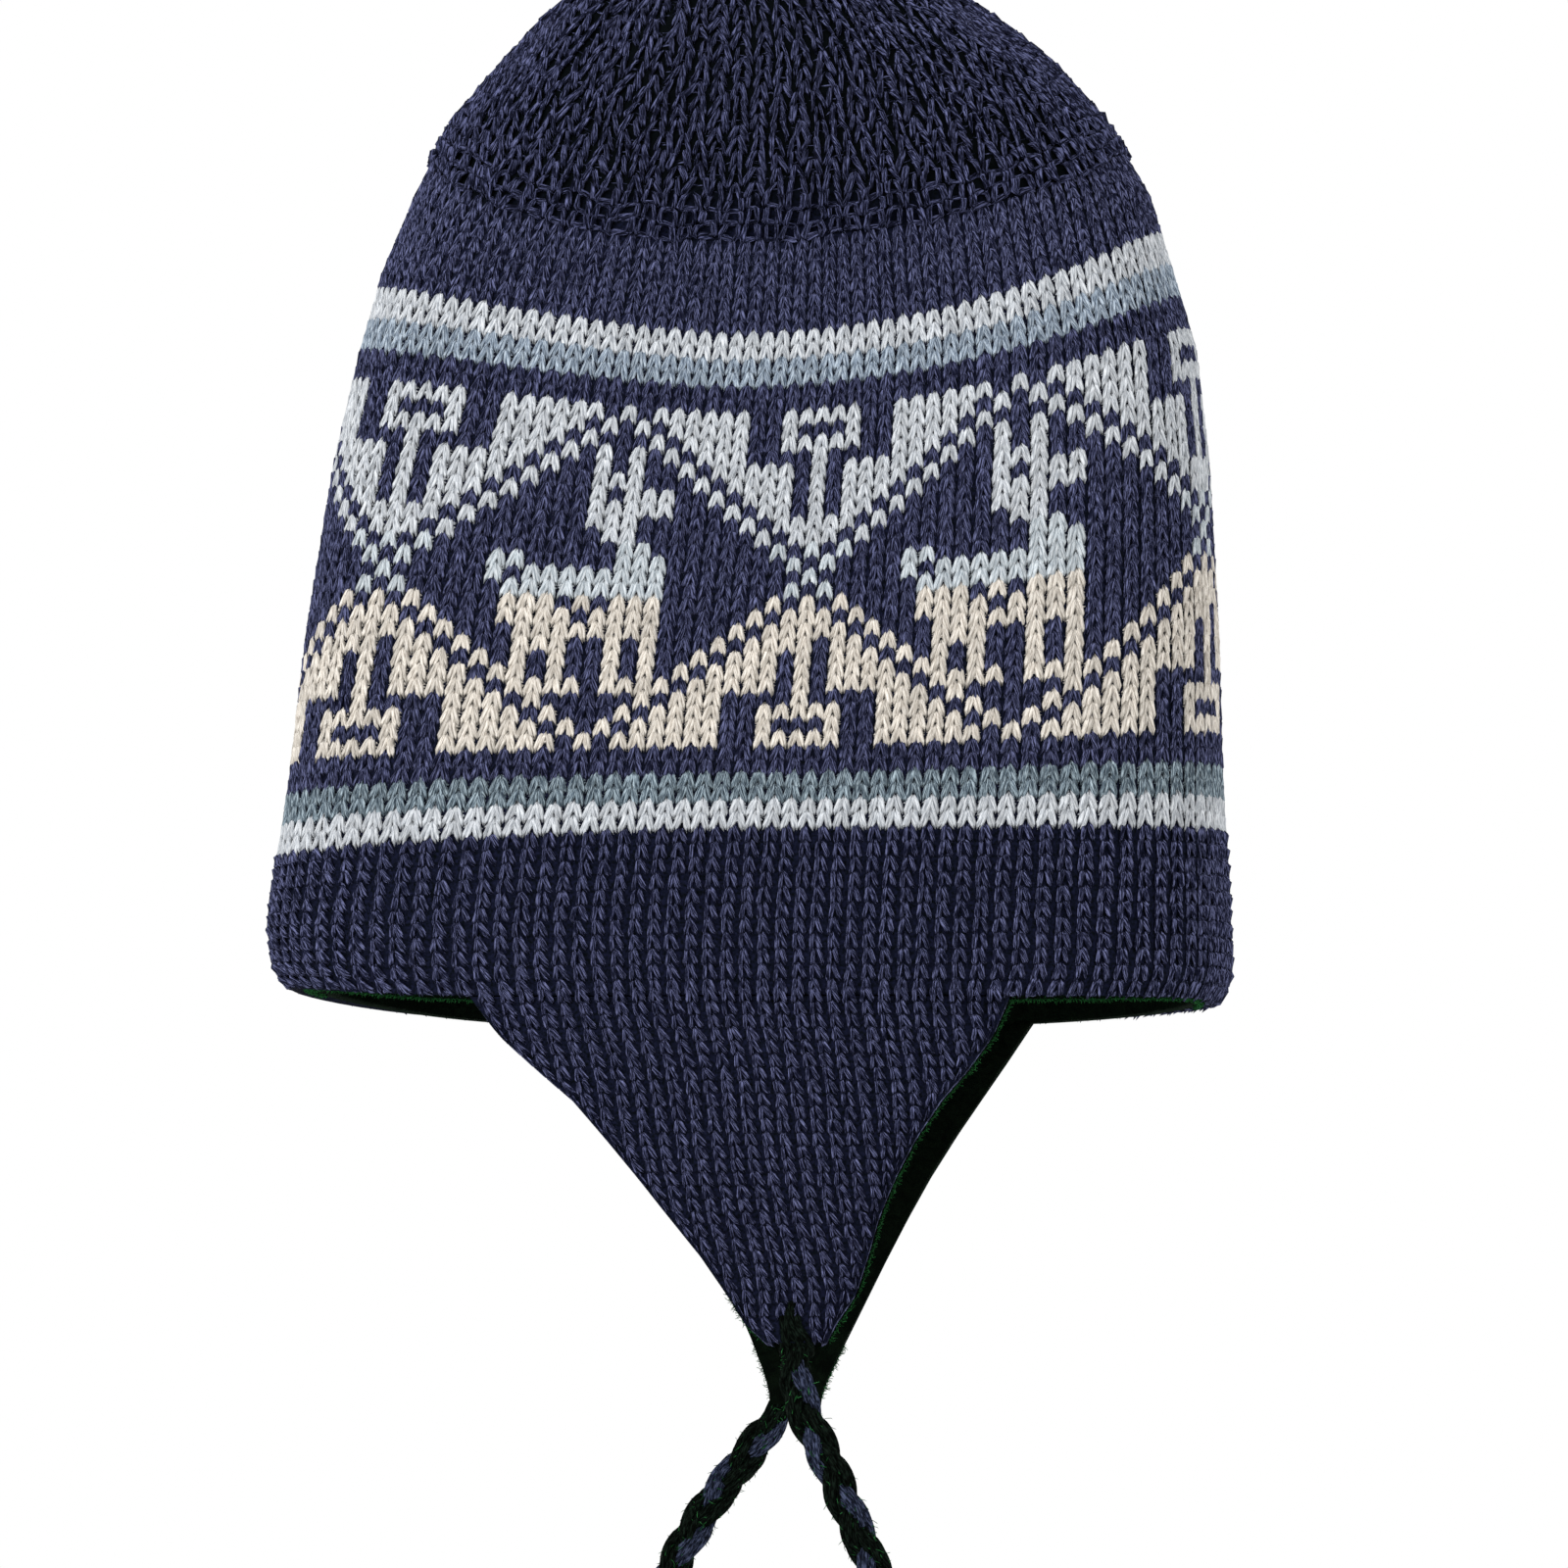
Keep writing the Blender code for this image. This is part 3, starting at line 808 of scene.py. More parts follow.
class YarnPile:
    """Many lengths of yarn gathered from arrays into one joined mesh."""

    def __init__(self, name: str, primitive: LobePrimitive, seed: int) -> None:
        """Start an empty pile.

        Args:
            name: the piece's name.
            primitive: the ball that each short length is bent from.
            seed: seed of the pile's random draws.
        """
        self.name = name
        self.primitive = primitive
        self.random = np.random.default_rng(seed)
        self.points: list[np.ndarray] = []
        self.loops: list[np.ndarray] = []
        self.starts: list[np.ndarray] = []
        self.uvs: list[np.ndarray] = []
        self.shades: list[np.ndarray] = []
        self.yarns: list[np.ndarray] = []
        self.point_count = 0
        self.loop_count = 0

    def _keep(self, points: np.ndarray, loops: np.ndarray, starts: np.ndarray,
              uvs: np.ndarray, shades: np.ndarray, yarns: np.ndarray) -> None:
        """Add one batch of mesh data, its numbers counted from the batch's own start."""
        self.points.append(points)
        self.loops.append(loops + self.point_count)
        self.starts.append(starts + self.loop_count)
        self.uvs.append(uvs)
        self.shades.append(shades)
        self.yarns.append(yarns)
        self.point_count += len(points)
        self.loop_count += len(loops)

    def add_bent(self, start: np.ndarray, middle: np.ndarray, end: np.ndarray,
                 outward: np.ndarray, width: np.ndarray, depth: np.ndarray,
                 yarn: np.ndarray | int) -> None:
        """Add many short lengths, each bent through three points.

        Args:
            start: first points, one row each.
            middle: points halfway.
            end: last points.
            outward: directions that a length's thickness is measured along.
            width: half widths in metres.
            depth: half thicknesses in metres.
            yarn: numbers of the yarns, which are the piece's material slots.
        """
        count = len(start)
        if count == 0:
            return
        base = self.primitive.points
        control = 2 * middle - (start + end) / 2
        t = ((1.0 - base[:, 2]) / 2)[None, :, None]
        a, b, c = start[:, None, :], control[:, None, :], end[:, None, :]
        centre = (1 - t) ** 2 * a + 2 * (1 - t) * t * b + t ** 2 * c
        along = unit(2 * (1 - t) * (b - a) + 2 * t * (c - b))
        beside = unit(np.cross(along, outward[:, None, :]))
        proud = np.cross(beside, along)
        width = np.broadcast_to(width, (count,))
        depth = np.broadcast_to(depth, (count,))
        points = (centre + beside * (base[None, :, 0] * width[:, None])[..., None]
                  + proud * (base[None, :, 1] * depth[:, None])[..., None])
        size = len(base)
        loops = (self.primitive.loops[None, :] + size * np.arange(count)[:, None]).ravel()
        per_lobe = len(self.primitive.loops)
        starts = (self.primitive.starts[None, :] + per_lobe * np.arange(count)[:, None]).ravel()
        length = np.linalg.norm(end - start, axis=1)
        shift = self.random.uniform(0.0, UV_SHIFT, (count, 2))
        uvs = np.empty((count, per_lobe, 2))
        uvs[..., 0] = (self.primitive.uvs[None, :, 0] * (2 * pi * width / MM)[:, None]
                       + shift[:, :1])
        uvs[..., 1] = self.primitive.uvs[None, :, 1] * (length / MM)[:, None] + shift[:, 1:]
        shades = np.repeat(self.random.uniform(-1.0, 1.0, count), size)
        yarns = np.repeat(np.broadcast_to(yarn, (count,)), len(self.primitive.starts))
        self._keep(points.reshape(-1, 3), loops, starts, uvs.reshape(-1, 2), shades, yarns)

    def add_plied(self, ends: list[np.ndarray], outward: np.ndarray, width: np.ndarray,
                  depth: np.ndarray, yarn: np.ndarray | int) -> None:
        """Add many short lengths, each of two plies that wind round each other.

        Args:
            ends: first points, points halfway and last points, one row each.
            outward: directions that a length's thickness is measured along.
            width: half widths of the yarn in metres.
            depth: half thicknesses of the yarn in metres.
            yarn: numbers of the yarns.
        """
        beside = unit(np.cross(ends[2] - ends[0], outward))
        turn = self.random.uniform(-0.5, 0.5, len(outward))
        for side in (0.0, pi):
            route = []
            for point, wind, spread in zip(ends, PLY_WIND, PLY_SPREAD):
                angle = turn + side + wind
                route.append(point + beside * (width * spread * np.cos(angle))[:, None]
                             + outward * (depth * 0.5 * np.sin(angle))[:, None])
            self.add_bent(*route, outward, width * PLY_WIDTH, depth * PLY_DEPTH, yarn)

    def add_stitches(self, cells: np.ndarray, style: StitchStyle, yarn: np.ndarray | int,
                     lift: float = 0.0) -> None:
        """Add a stitch of two legs in each cell.

        Args:
            cells: four corners each: lower left, lower right, upper left, upper right.
            style: how the legs lie.
            yarn: the yarn's number, or one for each cell.
            lift: how far the stitches stand off the face, metres.
        """
        low_left, low_right, up_left, up_right = (cells[:, k] for k in range(4))
        middle = cells.mean(axis=1)
        across = ((low_right - low_left) + (up_right - up_left)) / 2
        upward = ((up_left - low_left) + (up_right - low_right)) / 2
        outward = unit(np.cross(across, upward))
        wide = np.linalg.norm(across, axis=1)
        count = len(cells)
        legs = (style.left, style.right, style.bar) if style.bar else (style.left, style.right)
        for leg in legs:
            ends = []
            for place in (leg.top, leg.middle, leg.foot):
                off = self.random.normal(0.0, style.wander, (count, 2))
                ends.append(middle + across * (place[0] + off[:, :1])
                            + upward * (place[1] + off[:, 1:]) + outward * (place[2] + lift))
            swell = 1.0 + self.random.uniform(-style.swell, style.swell, count)
            self.add_plied(ends, outward, leg.width * wide * swell, leg.depth * swell, yarn)

    def add_tube(self, path: np.ndarray, radius: np.ndarray | float, sides: int,
                 yarn: int) -> None:
        """Add one long length that follows a path, closed at both ends.

        Args:
            path: points of its middle line.
            radius: one radius, or one for each point, in metres.
            sides: sides round it.
            yarn: the yarn's number.
        """
        count = len(path)
        radii = np.broadcast_to(np.asarray(radius, float), (count,))
        along = headings(path)
        beside = np.empty_like(path)
        beside[0] = Vector(along[0]).orthogonal().normalized()
        for step in range(1, count):
            turned = beside[step - 1] - along[step] * np.dot(beside[step - 1], along[step])
            beside[step] = turned / np.linalg.norm(turned)
        other = np.cross(along, beside)
        angle = 2 * pi * np.arange(sides) / sides
        ring = (beside[:, None] * np.cos(angle)[None, :, None]
                + other[:, None] * np.sin(angle)[None, :, None])
        rings = (path[:, None] + ring * radii[:, None, None]).reshape(-1, 3)
        points = np.vstack([rings, path[0] - along[0] * radii[0] * 0.6,
                            path[-1] + along[-1] * radii[-1] * 0.6])
        so_far = travelled(path) / MM
        loops: list[int] = []
        uvs: list[tuple[float, float]] = []
        starts: list[int] = []
        shift = self.random.uniform(0.0, UV_SHIFT, 2)
        girth = 2 * pi * float(radii.mean()) / MM

        def corner(index: int, row: int, turn: int) -> None:
            """Add one corner of a face."""
            loops.append(index)
            uvs.append((girth * turn / sides + shift[0], so_far[row] + shift[1]))

        for row in range(count - 1):
            for turn in range(sides):
                after = (turn + 1) % sides
                starts.append(len(loops))
                corner(row * sides + turn, row, turn)
                corner(row * sides + after, row, turn + 1)
                corner((row + 1) * sides + after, row + 1, turn + 1)
                corner((row + 1) * sides + turn, row + 1, turn)
        for turn in range(sides):
            after = (turn + 1) % sides
            starts.append(len(loops))
            corner(count * sides, 0, turn)
            corner(after, 0, turn + 1)
            corner(turn, 0, turn)
            starts.append(len(loops))
            corner(count * sides + 1, count - 1, turn)
            corner((count - 1) * sides + turn, count - 1, turn)
            corner((count - 1) * sides + after, count - 1, turn + 1)
        shades = np.full(len(points), self.random.uniform(-1.0, 1.0))
        self._keep(points, np.array(loops), np.array(starts), np.array(uvs), shades,
                   np.full(len(starts), yarn))

    def build(self, materials: list[bpy.types.Material], slot: str) -> bpy.types.Object:
        """Make the joined mesh and hang it on the hat.

        Args:
            materials: the finishes, in the order of the yarns' numbers.
            slot: the name of a material slot; not used.

        Returns:
            The finished piece.
        """
        mesh = bpy.data.meshes.new(self.name)
        points = np.concatenate(self.points).astype(np.float32)
        loops = np.concatenate(self.loops).astype(np.int32)
        starts = np.concatenate(self.starts).astype(np.int32)
        yarns = np.concatenate(self.yarns).astype(np.int32)
        mesh.vertices.add(len(points))
        mesh.vertices.foreach_set("co", points.ravel())
        mesh.loops.add(len(loops))
        mesh.loops.foreach_set("vertex_index", loops)
        mesh.polygons.add(len(starts))
        mesh.polygons.foreach_set("loop_start", starts)
        used = sorted(set(yarns.tolist()))
        numbers = np.searchsorted(used, yarns).astype(np.int32)
        for number in used:
            mesh.materials.append(materials[number])
        mesh.update(calc_edges=True)
        mesh.polygons.foreach_set("material_index", numbers)
        layer = mesh.uv_layers.new(name="yarn")
        layer.data.foreach_set("uv", np.concatenate(self.uvs).astype(np.float32).ravel())
        shade = mesh.attributes.new("shade", "FLOAT", "POINT")
        shade.data.foreach_set("value", np.concatenate(self.shades).astype(np.float32))
        mesh.shade_smooth()
        mesh.update()
        piece = bpy.data.objects.new(self.name, mesh)
        bpy.context.scene.collection.objects.link(piece)
        return hang(piece)


def hang(piece: bpy.types.Object) -> bpy.types.Object:
    """Make a piece ride on the hat and report it.

    Args:
        piece: the finished piece.

    Returns:
        The same piece.
    """
    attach(piece, BODY)
    LOG.info("%s: %d faces", piece.name, len(piece.data.polygons))
    return piece


def cells_between(low: np.ndarray, high: np.ndarray) -> np.ndarray:
    """The cells between two rows of corners.

    Args:
        low: corners of the lower edge.
        high: corners of the upper edge, as many.

    Returns:
        Four corners for each cell.
    """
    return np.stack([low[:-1], low[1:], high[:-1], high[1:]], axis=1)


@dataclass
class CrownKnit:
    """The knit of the crown, from the rim to the gathered top."""

    grid: KnitGrid
    lobe: LobePrimitive
    yarns: list[bpy.types.Material]
    wedges: int = 10
    loose_rows: int = 28
    ladder_rows: int = 3         # the first of them, whose loops stand round open holes
    loose_pitch: float = 0.0052  # metres from stitch to stitch
    loose_lean: float = 0.06     # metres of the columns' lean that it takes on by the top
    first_lift: float = 0.0004   # how far its first loops stand off the fine knit
    first_columns: int = 8       # columns in a wedge where the loose knit starts
    seed: int = 11

    def row_cells(self, row: int) -> np.ndarray:
        """The cells of one row of the fine knit."""
        return cells_between(self.grid.corners[row], self.grid.corners[row + 1])

    def chart_yarns(self, row: int) -> np.ndarray:
        """The yarn of each stitch of one row of the band.

        Args:
            row: the row, counted up from the rim.

        Returns:
            The yarns' numbers, one for each column.
        """
        line = CHART_TOP_ROW - row
        light = (Yarn.SILVER if line < SILVER_LINES
                 else Yarn.PALE_BLUE if line < PALE_LINES else Yarn.CREAM)
        columns = (np.arange(COLUMNS) - STEM_COLUMN) % REPEAT
        marks = np.array([mark == "#" for mark in CHART[line]])
        return np.where(marks[columns], light.value, Yarn.NAVY.value)

    def knit_rows(self, name: str, seed: int, style: StitchStyle,
                  rows: dict[int, Yarn]) -> YarnPile:
        """Knit whole rows, each of one yarn.

        Args:
            name: the piece's name.
            seed: how far its seed is past the knit's own.
            style: how the stitches lie.
            rows: the yarn of each row.

        Returns:
            The stitches, not built yet.
        """
        pile = YarnPile(name, self.lobe, self.seed + seed)
        for row, yarn in rows.items():
            pile.add_stitches(self.row_cells(row), style, yarn.value)
        return pile

    def rib(self) -> None:
        """The deep plain band at the rim, whose columns stand apart."""
        pile = self.knit_rows("rim_rib_stitches", 0, RIBBED,
                              dict.fromkeys(range(RIB_ROWS), Yarn.NAVY))
        self.turned_edge(pile)
        pile.build(self.yarns, "navy_knit")

    def turned_edge(self, pile: YarnPile) -> None:
        """The last loops, which turn under the rim."""
        columns = np.arange(COLUMNS) + 0.5
        edge = self.grid.row_line(0, columns)
        around, share = self.grid.row_places(0, columns)
        outward = self.grid.face.outward(around, share)
        down = np.tile((0.0, 0.0, -1.0), (COLUMNS, 1))
        for lean in (-0.0009, 0.0009):
            across = unit(np.cross(outward, down)) * lean
            start = edge - across + outward * 0.0003 - down * 0.0012
            middle = edge + down * 0.0002 - outward * 0.0008
            end = edge + across - outward * KNIT_WALL * 0.9 - down * 0.0006
            pile.add_bent(start, middle, end, unit(outward + down), 0.0009, 0.0008,
                          Yarn.NAVY.value)

    def stripes(self) -> None:
        """The two pairs of stripes that edge the band."""
        self.knit_rows("stripe_stitches", 1, FULL, STRIPE_ROWS).build(self.yarns, "navy_knit")

    def band(self) -> None:
        """The figured band: its navy ground and its light figures."""
        ground = self.knit_rows("band_ground_stitches", 2, PLAIN,
                                dict.fromkeys(BAND_EDGE_ROWS, Yarn.NAVY))
        figures = YarnPile("band_figure_stitches", self.lobe, self.seed + 3)
        for row in range(CHART_TOP_ROW - len(CHART) + 1, CHART_TOP_ROW + 1):
            yarns = self.chart_yarns(row)
            cells = self.row_cells(row)
            navy = yarns == Yarn.NAVY.value
            ground.add_stitches(cells[navy], PLAIN, Yarn.NAVY.value)
            figures.add_stitches(cells[~navy], FULL, yarns[~navy], lift=0.0001)
        ground.build(self.yarns, "navy_knit")
        figures.build(self.yarns, "navy_knit")

    def upper(self) -> None:
        """The fine plain rows above the band."""
        rows = dict.fromkeys(range(UPPER_FROM, LOOSE_FROM), Yarn.NAVY)
        self.knit_rows("upper_plain_stitches", 4, PLAIN, rows).build(self.yarns, "navy_knit")

    def loose_line(self, share: float, count: int) -> np.ndarray:
        """Corners along one edge of the loose knit.

        Args:
            share: share of the climb from where the loose knit starts to the top.
            count: stitches round.

        Returns:
            count + 1 points.
        """
        columns = np.linspace(0.0, COLUMNS, count + 1)
        around, start = self.grid.row_places(LOOSE_FROM, columns)
        face = self.grid.face
        shares = np.array([face.climbed(a, s, share) for a, s in zip(around, start)])
        lean = COLUMN_LEAN * share * self.loose_lean
        return face.point(*self.wobble(around + lean, shares))

    @staticmethod
    def wobble(around: np.ndarray, share: np.ndarray) -> tuple[np.ndarray, np.ndarray]:
        """Places of the loose knit, moved a little as slack loops are.

        Args:
            around: half turns from the back by the right ear.
            share: shares of the height.

        Returns:
            The same places, less even.
        """
        turn = pi * around
        fade = np.clip((0.97 - share) / 0.1, 0.0, 1.0)
        side = np.sin(23 * turn + 71 * share) + np.sin(41 * turn - 113 * share)
        rise = np.sin(31 * turn + 40 * share) + np.sin(17 * turn - 90 * share)
        return around + 0.0028 * side * fade, share + 0.0024 * rise * fade

    def loose(self) -> None:
        """The coarse open knit that is drawn together at the top."""
        pile = YarnPile("crown_loose_stitches", self.lobe, self.seed + 5)
        for row in range(self.loose_rows):
            low = row / self.loose_rows
            high = (row + 1) / self.loose_rows
            girth = travelled(self.loose_line(low, HALF_COLUMNS))[-1]
            each = round(girth / (self.loose_pitch * self.wedges))
            count = self.wedges * max(1, min(self.first_columns, each))
            cells = cells_between(self.loose_line(low, count), self.loose_line(high, count))
            style = LADDER if row < self.ladder_rows else LOOSE
            lift = self.first_lift if row == 0 else 0.0001
            # the loose knit takes the navy painted darker, as shade
            pile.add_stitches(cells, style, Yarn.NAVY_PAINTED_SHADE.value, lift=lift)
        pile.build(self.yarns, "navy_knit")

    def build(self) -> None:
        """Make every piece of the crown's knit."""
        self.rib()
        self.stripes()
        self.band()
        self.upper()
        self.loose()


@dataclass
class EarFlap:
    """One ear flap: its knit, its bound edge and the fleece behind it."""

    side: Side
    shape: np.ndarray
    drop: float
    sway: float
    grid: KnitGrid
    lobe: LobePrimitive
    seed: int
    row_height: float = 0.0030
    taper: float = 0.08          # how much the columns draw together by the tip
    notch_from: float = 0.855    # share of the drop where the tip divides
    notch_share: float = 0.5     # the notch's share of the tip's width
    root_yarns: int = 6          # yarns of the tie that are sewn into the notch
    chain: float = 0.0032        # metres from loop to loop down the bound edges

    def centre(self, share: np.ndarray) -> np.ndarray:
        """Where the flap's middle line lies at a share of its drop."""
        return np.interp(share, self.shape[:, 0], self.shape[:, 2]) * self.sway

    def half_width(self, share: np.ndarray) -> np.ndarray:
        """Half the flap's width at a share of its drop."""
        return np.interp(share, self.shape[:, 0], self.shape[:, 1]) * FLAP_WIDTH / 2

    def point(self, x: np.ndarray, share: np.ndarray, depth: float = 0.0) -> np.ndarray:
        """Points of the flap's outer face, or of one inside it.

        Args:
            x: places along the hat.
            share: shares of the drop.
            depth: how far inside the outer face, metres.

        Returns:
            One point each.
        """
        x, share = np.broadcast_arrays(np.asarray(x, float), np.asarray(share, float))
        top = rim_wave(x) - SEAM_GAP
        low = -RIM_SAG - self.drop
        lean = FLAP_LEAN * np.clip(share, 0.0, None) ** 1.5
        y = self.side.value * (side_reach(x) - depth - lean)
        return np.stack([x, y, top + (low - top) * share], axis=-1)

    def outward(self, x: np.ndarray, share: np.ndarray) -> np.ndarray:
        """The outward direction of the flap's face."""
        step = 0.001
        across = self.point(x + step, share) - self.point(x - step, share)
        down = self.point(x, share + 0.01) - self.point(x, share - 0.01)
        return unit(np.cross(across, down) * self.side.value)

    def edge_line(self, end: int, count: int, grow: float = 0.0,
                  from_share: float = 0.0) -> tuple[np.ndarray, np.ndarray]:
        """Places down one edge of the flap.

        Args:
            end: -1 for the edge towards the back, 1 towards the brow.
            count: how many places.
            grow: how far past the edge, metres.
            from_share: share of the drop that the places start from.

        Returns:
            Places along the hat and shares of the drop.
        """
        share = np.linspace(from_share, 1.0, count)
        return self.centre(share) + end * (self.half_width(share) + grow), share

    def knit(self, yarns: list[bpy.types.Material]) -> None:
        """The flap's stitches, whose columns run on from the crown's."""
        pile = YarnPile("flap_stitches_" + self.side.word, self.lobe, self.seed)
        first = 0 if self.side is Side.RIGHT else HALF_COLUMNS
        edges = np.arange(first, first + HALF_COLUMNS + 1)
        rim_x = self.grid.row_line(0, edges)[:, 0]
        rows = round(self.drop / self.row_height)
        shares = np.linspace(-0.6 / rows, 1.0, rows + 1)
        start = self.centre(np.array(0.0))
        lines = [self.centre(share) + (rim_x - start) * (1 - self.taper * share)
                 for share in shares]
        for row in range(rows):
            pitch = np.abs(np.diff(lines[row]))
            high, low = (self.within(lines[place], shares[place]) for place in (row, row + 1))
            cells = cells_between(self.point(low, shares[row + 1]), self.point(high, shares[row]))
            middle = (high[:-1] + high[1:] + low[:-1] + low[1:]) / 4
            share = (shares[row] + shares[row + 1]) / 2
            wide = np.abs(np.diff(high) + np.diff(low)) / 2
            beside = np.abs(middle - self.centre(share)) > self.notch(share)
            pile.add_stitches(cells[(wide > 0.15 * pitch) & beside], RIBBED, Yarn.NAVY.value,
                              lift=0.0005 if row == 0 else 0.0)
        self.bound_edges(pile)
        pile.build(yarns, "navy_knit")

    def within(self, x: np.ndarray, share: float) -> np.ndarray:
        """Places across the flap, held inside its bound edges."""
        reach = self.half_width(share) - 0.0006
        return np.clip(x, self.centre(share) - reach, self.centre(share) + reach)

    def notch(self, share: np.ndarray) -> np.ndarray:
        """Half width of the notch that divides the flap's tip."""
        part = np.clip((share - self.notch_from) / (1.0 - self.notch_from), 0.0, 1.0)
        return part * self.notch_share * self.half_width(1.0)

    def beyond(self, along: np.ndarray, outward: np.ndarray, end: int) -> np.ndarray:
        """Directions that lead out of the flap over one of its edges.

        Args:
            along: the way that the edge runs.
            outward: the outward direction of the flap's face.
            end: -1 for the edge towards the back, 1 towards the brow.

        Returns:
            Directions of length one.
        """
        past = unit(np.cross(along, outward))
        return past * np.sign((past[:, :1] * end) + 1e-9)

    def tie_root(self, yarns: list[bpy.types.Material]) -> None:
        """The dark yarns of the tie, sewn into the notch at the flap's tip.

        Args:
            yarns: the braid's finishes.
        """
        pile = YarnPile("tie_root_" + self.side.word, self.lobe, self.seed + 100)
        middle = (self.root_yarns - 1) / 2
        for number in range(self.root_yarns):
            place = (number - middle) / middle
            share = np.linspace(self.notch_from + 0.02 + 0.05 * abs(place), 1.035, 9)
            curl = np.sin(share * 60.0 + number * 2.0) * 0.0003
            x = self.centre(share) + place * self.notch(share) * 0.85 + curl
            path = self.point(x, share, 0.0002 - 0.0005 * (number % 2))
            path[:, 1] -= self.side.value * 0.0030 * np.clip((share - 0.985) / 0.05, 0.0, 1.0)
            pile.add_tube(path, 0.00095, TUBE_SIDES, TieYarn.DARK.value)
        pile.build(yarns, "braided_yarn")

    def bound_edges(self, pile: YarnPile) -> None:
        """A chain of loops down each edge, over the knit's cut wall."""
        for end in (-1, 1):
            count = round(self.drop * 1.25 / self.chain)
            x, share = self.edge_line(end, count + 1, -0.0010)
            line = self.point(x, share, KNIT_WALL / 2 + 0.0008)
            middle = (line[:-1] + line[1:]) / 2
            along = line[1:] - line[:-1]
            outward = self.outward((x[:-1] + x[1:]) / 2, (share[:-1] + share[1:]) / 2)
            beyond = self.beyond(along, outward, end)
            pile.add_bent(middle - along * 0.85 - outward * 0.0003, middle + beyond * 0.0003,
                          middle + along * 0.85 + outward * 0.0001, outward, 0.0008, 0.0014,
                          Yarn.NAVY.value)

    def lining(self, fleece: bpy.types.Material) -> None:
        """The fleece behind the knit, a little wider than it, so that its pile shows."""
        columns, rows = 40, 34
        piece = fresh_grid("fleece_flap_lining_" + self.side.word, columns, rows)
        share = np.linspace(0.0, 1.02, rows + 1)
        across = np.linspace(-1.0, 1.0, columns + 1)
        x = (self.centre(share)[:, None]
             + across[None, :] * (self.half_width(share) + 0.0003)[:, None])
        points = self.point(x, np.broadcast_to(share[:, None], x.shape),
                            KNIT_WALL + LAYER_GAP)
        ripple = 0.00035 * np.sin(x * 330.0 + share[:, None] * 9.0)
        points[..., 1] -= self.side.value * (np.abs(ripple) + 0.0001)
        if self.side is Side.LEFT:
            points = points[:, ::-1]
        shape_grid(piece, points[::-1])
        finish_wall(piece, LINING_WALL - 0.0005)
        piece.data.materials.append(fleece)
        hang(piece)
        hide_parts("flap_lining_" + self.side.word)

    def fuzz(self, pile: YarnPile) -> None:
        """Pile that shows past the flap's edges: all down the near one's brow edge.

        Args:
            pile: what the hairs are gathered in.
        """
        brow_start = 0.0 if self.side is Side.RIGHT else 0.86
        for end, from_share, thick in ((-1, 0.86, 5.0), (1, brow_start, 8.0)):
            count = round(self.drop * 1.25 / MM * thick * (1.0 - from_share))
            x, share = self.edge_line(end, count, 0.0002, from_share)
            root = self.point(x, share, KNIT_WALL + LAYER_GAP + 0.0009)
            along = headings(root)
            outward = self.outward(x, share)
            beyond = self.beyond(along, outward, end)
            add_hairs(pile, root, beyond * 0.35 + outward * 0.9 - along * 0.3, 0.0013, 0)


def fresh_grid(name: str, columns: int, rows: int) -> bpy.types.Object:
    """A flat grid with as many faces across and down as asked.

    Args:
        name: the piece's name.
        columns: faces across.
        rows: faces down.

    Returns:
        The grid, the only thing selected.
    """
    bpy.ops.object.select_all(action="DESELECT")
    bpy.ops.mesh.primitive_grid_add(x_subdivisions=columns, y_subdivisions=rows, size=1.0,
                                    calc_uvs=True)
    piece = bpy.context.object
    piece.name = name
    piece.data.name = name
    return piece


def shape_grid(piece: bpy.types.Object, points: np.ndarray) -> None:
    """Move a grid's vertices to rows of points, bottom row first.

    Args:
        piece: the grid.
        points: rows of points, one for each vertex.
    """
    piece.data.vertices.foreach_set("co", points.reshape(-1, 3).astype(np.float32).ravel())
    piece.data.update()


def finish_wall(piece: bpy.types.Object, wall: float, merge: bool = False) -> None:
    """Close a sheet's seam, thicken it and make it smooth.

    Args:
        piece: the sheet, whose faces point outwards.
        wall: its thickness in metres, taken inwards.
        merge: whether to join the points that meet at a seam first.
    """
    bpy.ops.object.select_all(action="DESELECT")
    piece.select_set(True)
    bpy.context.view_layer.objects.active = piece
    if merge:
        bpy.ops.object.mode_set(mode="EDIT")
        bpy.ops.mesh.select_all(action="SELECT")
        bpy.ops.mesh.remove_doubles(threshold=0.00002)
        bpy.ops.object.mode_set(mode="OBJECT")
    solid = piece.modifiers.new("wall", "SOLIDIFY")
    solid.thickness = wall
    solid.offset = -1.0
    bpy.ops.object.modifier_apply(modifier=solid.name)
    piece.data.shade_smooth()


def add_hairs(pile: YarnPile, root: np.ndarray, aim: np.ndarray, length: float,
              yarn: int) -> None:
    """Add short curved hairs to a pile.

    Args:
        pile: what they are gathered in.
        root: where they stand.
        aim: the way they lean on the whole.
        length: their usual length, metres.
        yarn: the number of their finish.
    """
    count = len(root)
    draw = pile.random
    lean = unit(unit(aim) + draw.normal(0.0, 0.55, (count, 3)))
    reach = length * draw.uniform(0.45, 1.25, (count, 1))
    curl = draw.normal(0.0, 0.25, (count, 3)) * reach
    start = root - lean * 0.0004 + draw.normal(0.0, 0.0003, (count, 3))
    outward = unit(np.cross(lean, draw.normal(0.0, 1.0, (count, 3))))
    pile.add_bent(start, root + lean * reach * 0.5 + curl * 0.5, root + lean * reach,
                  outward, HAIR_RADIUS, HAIR_RADIUS, yarn)


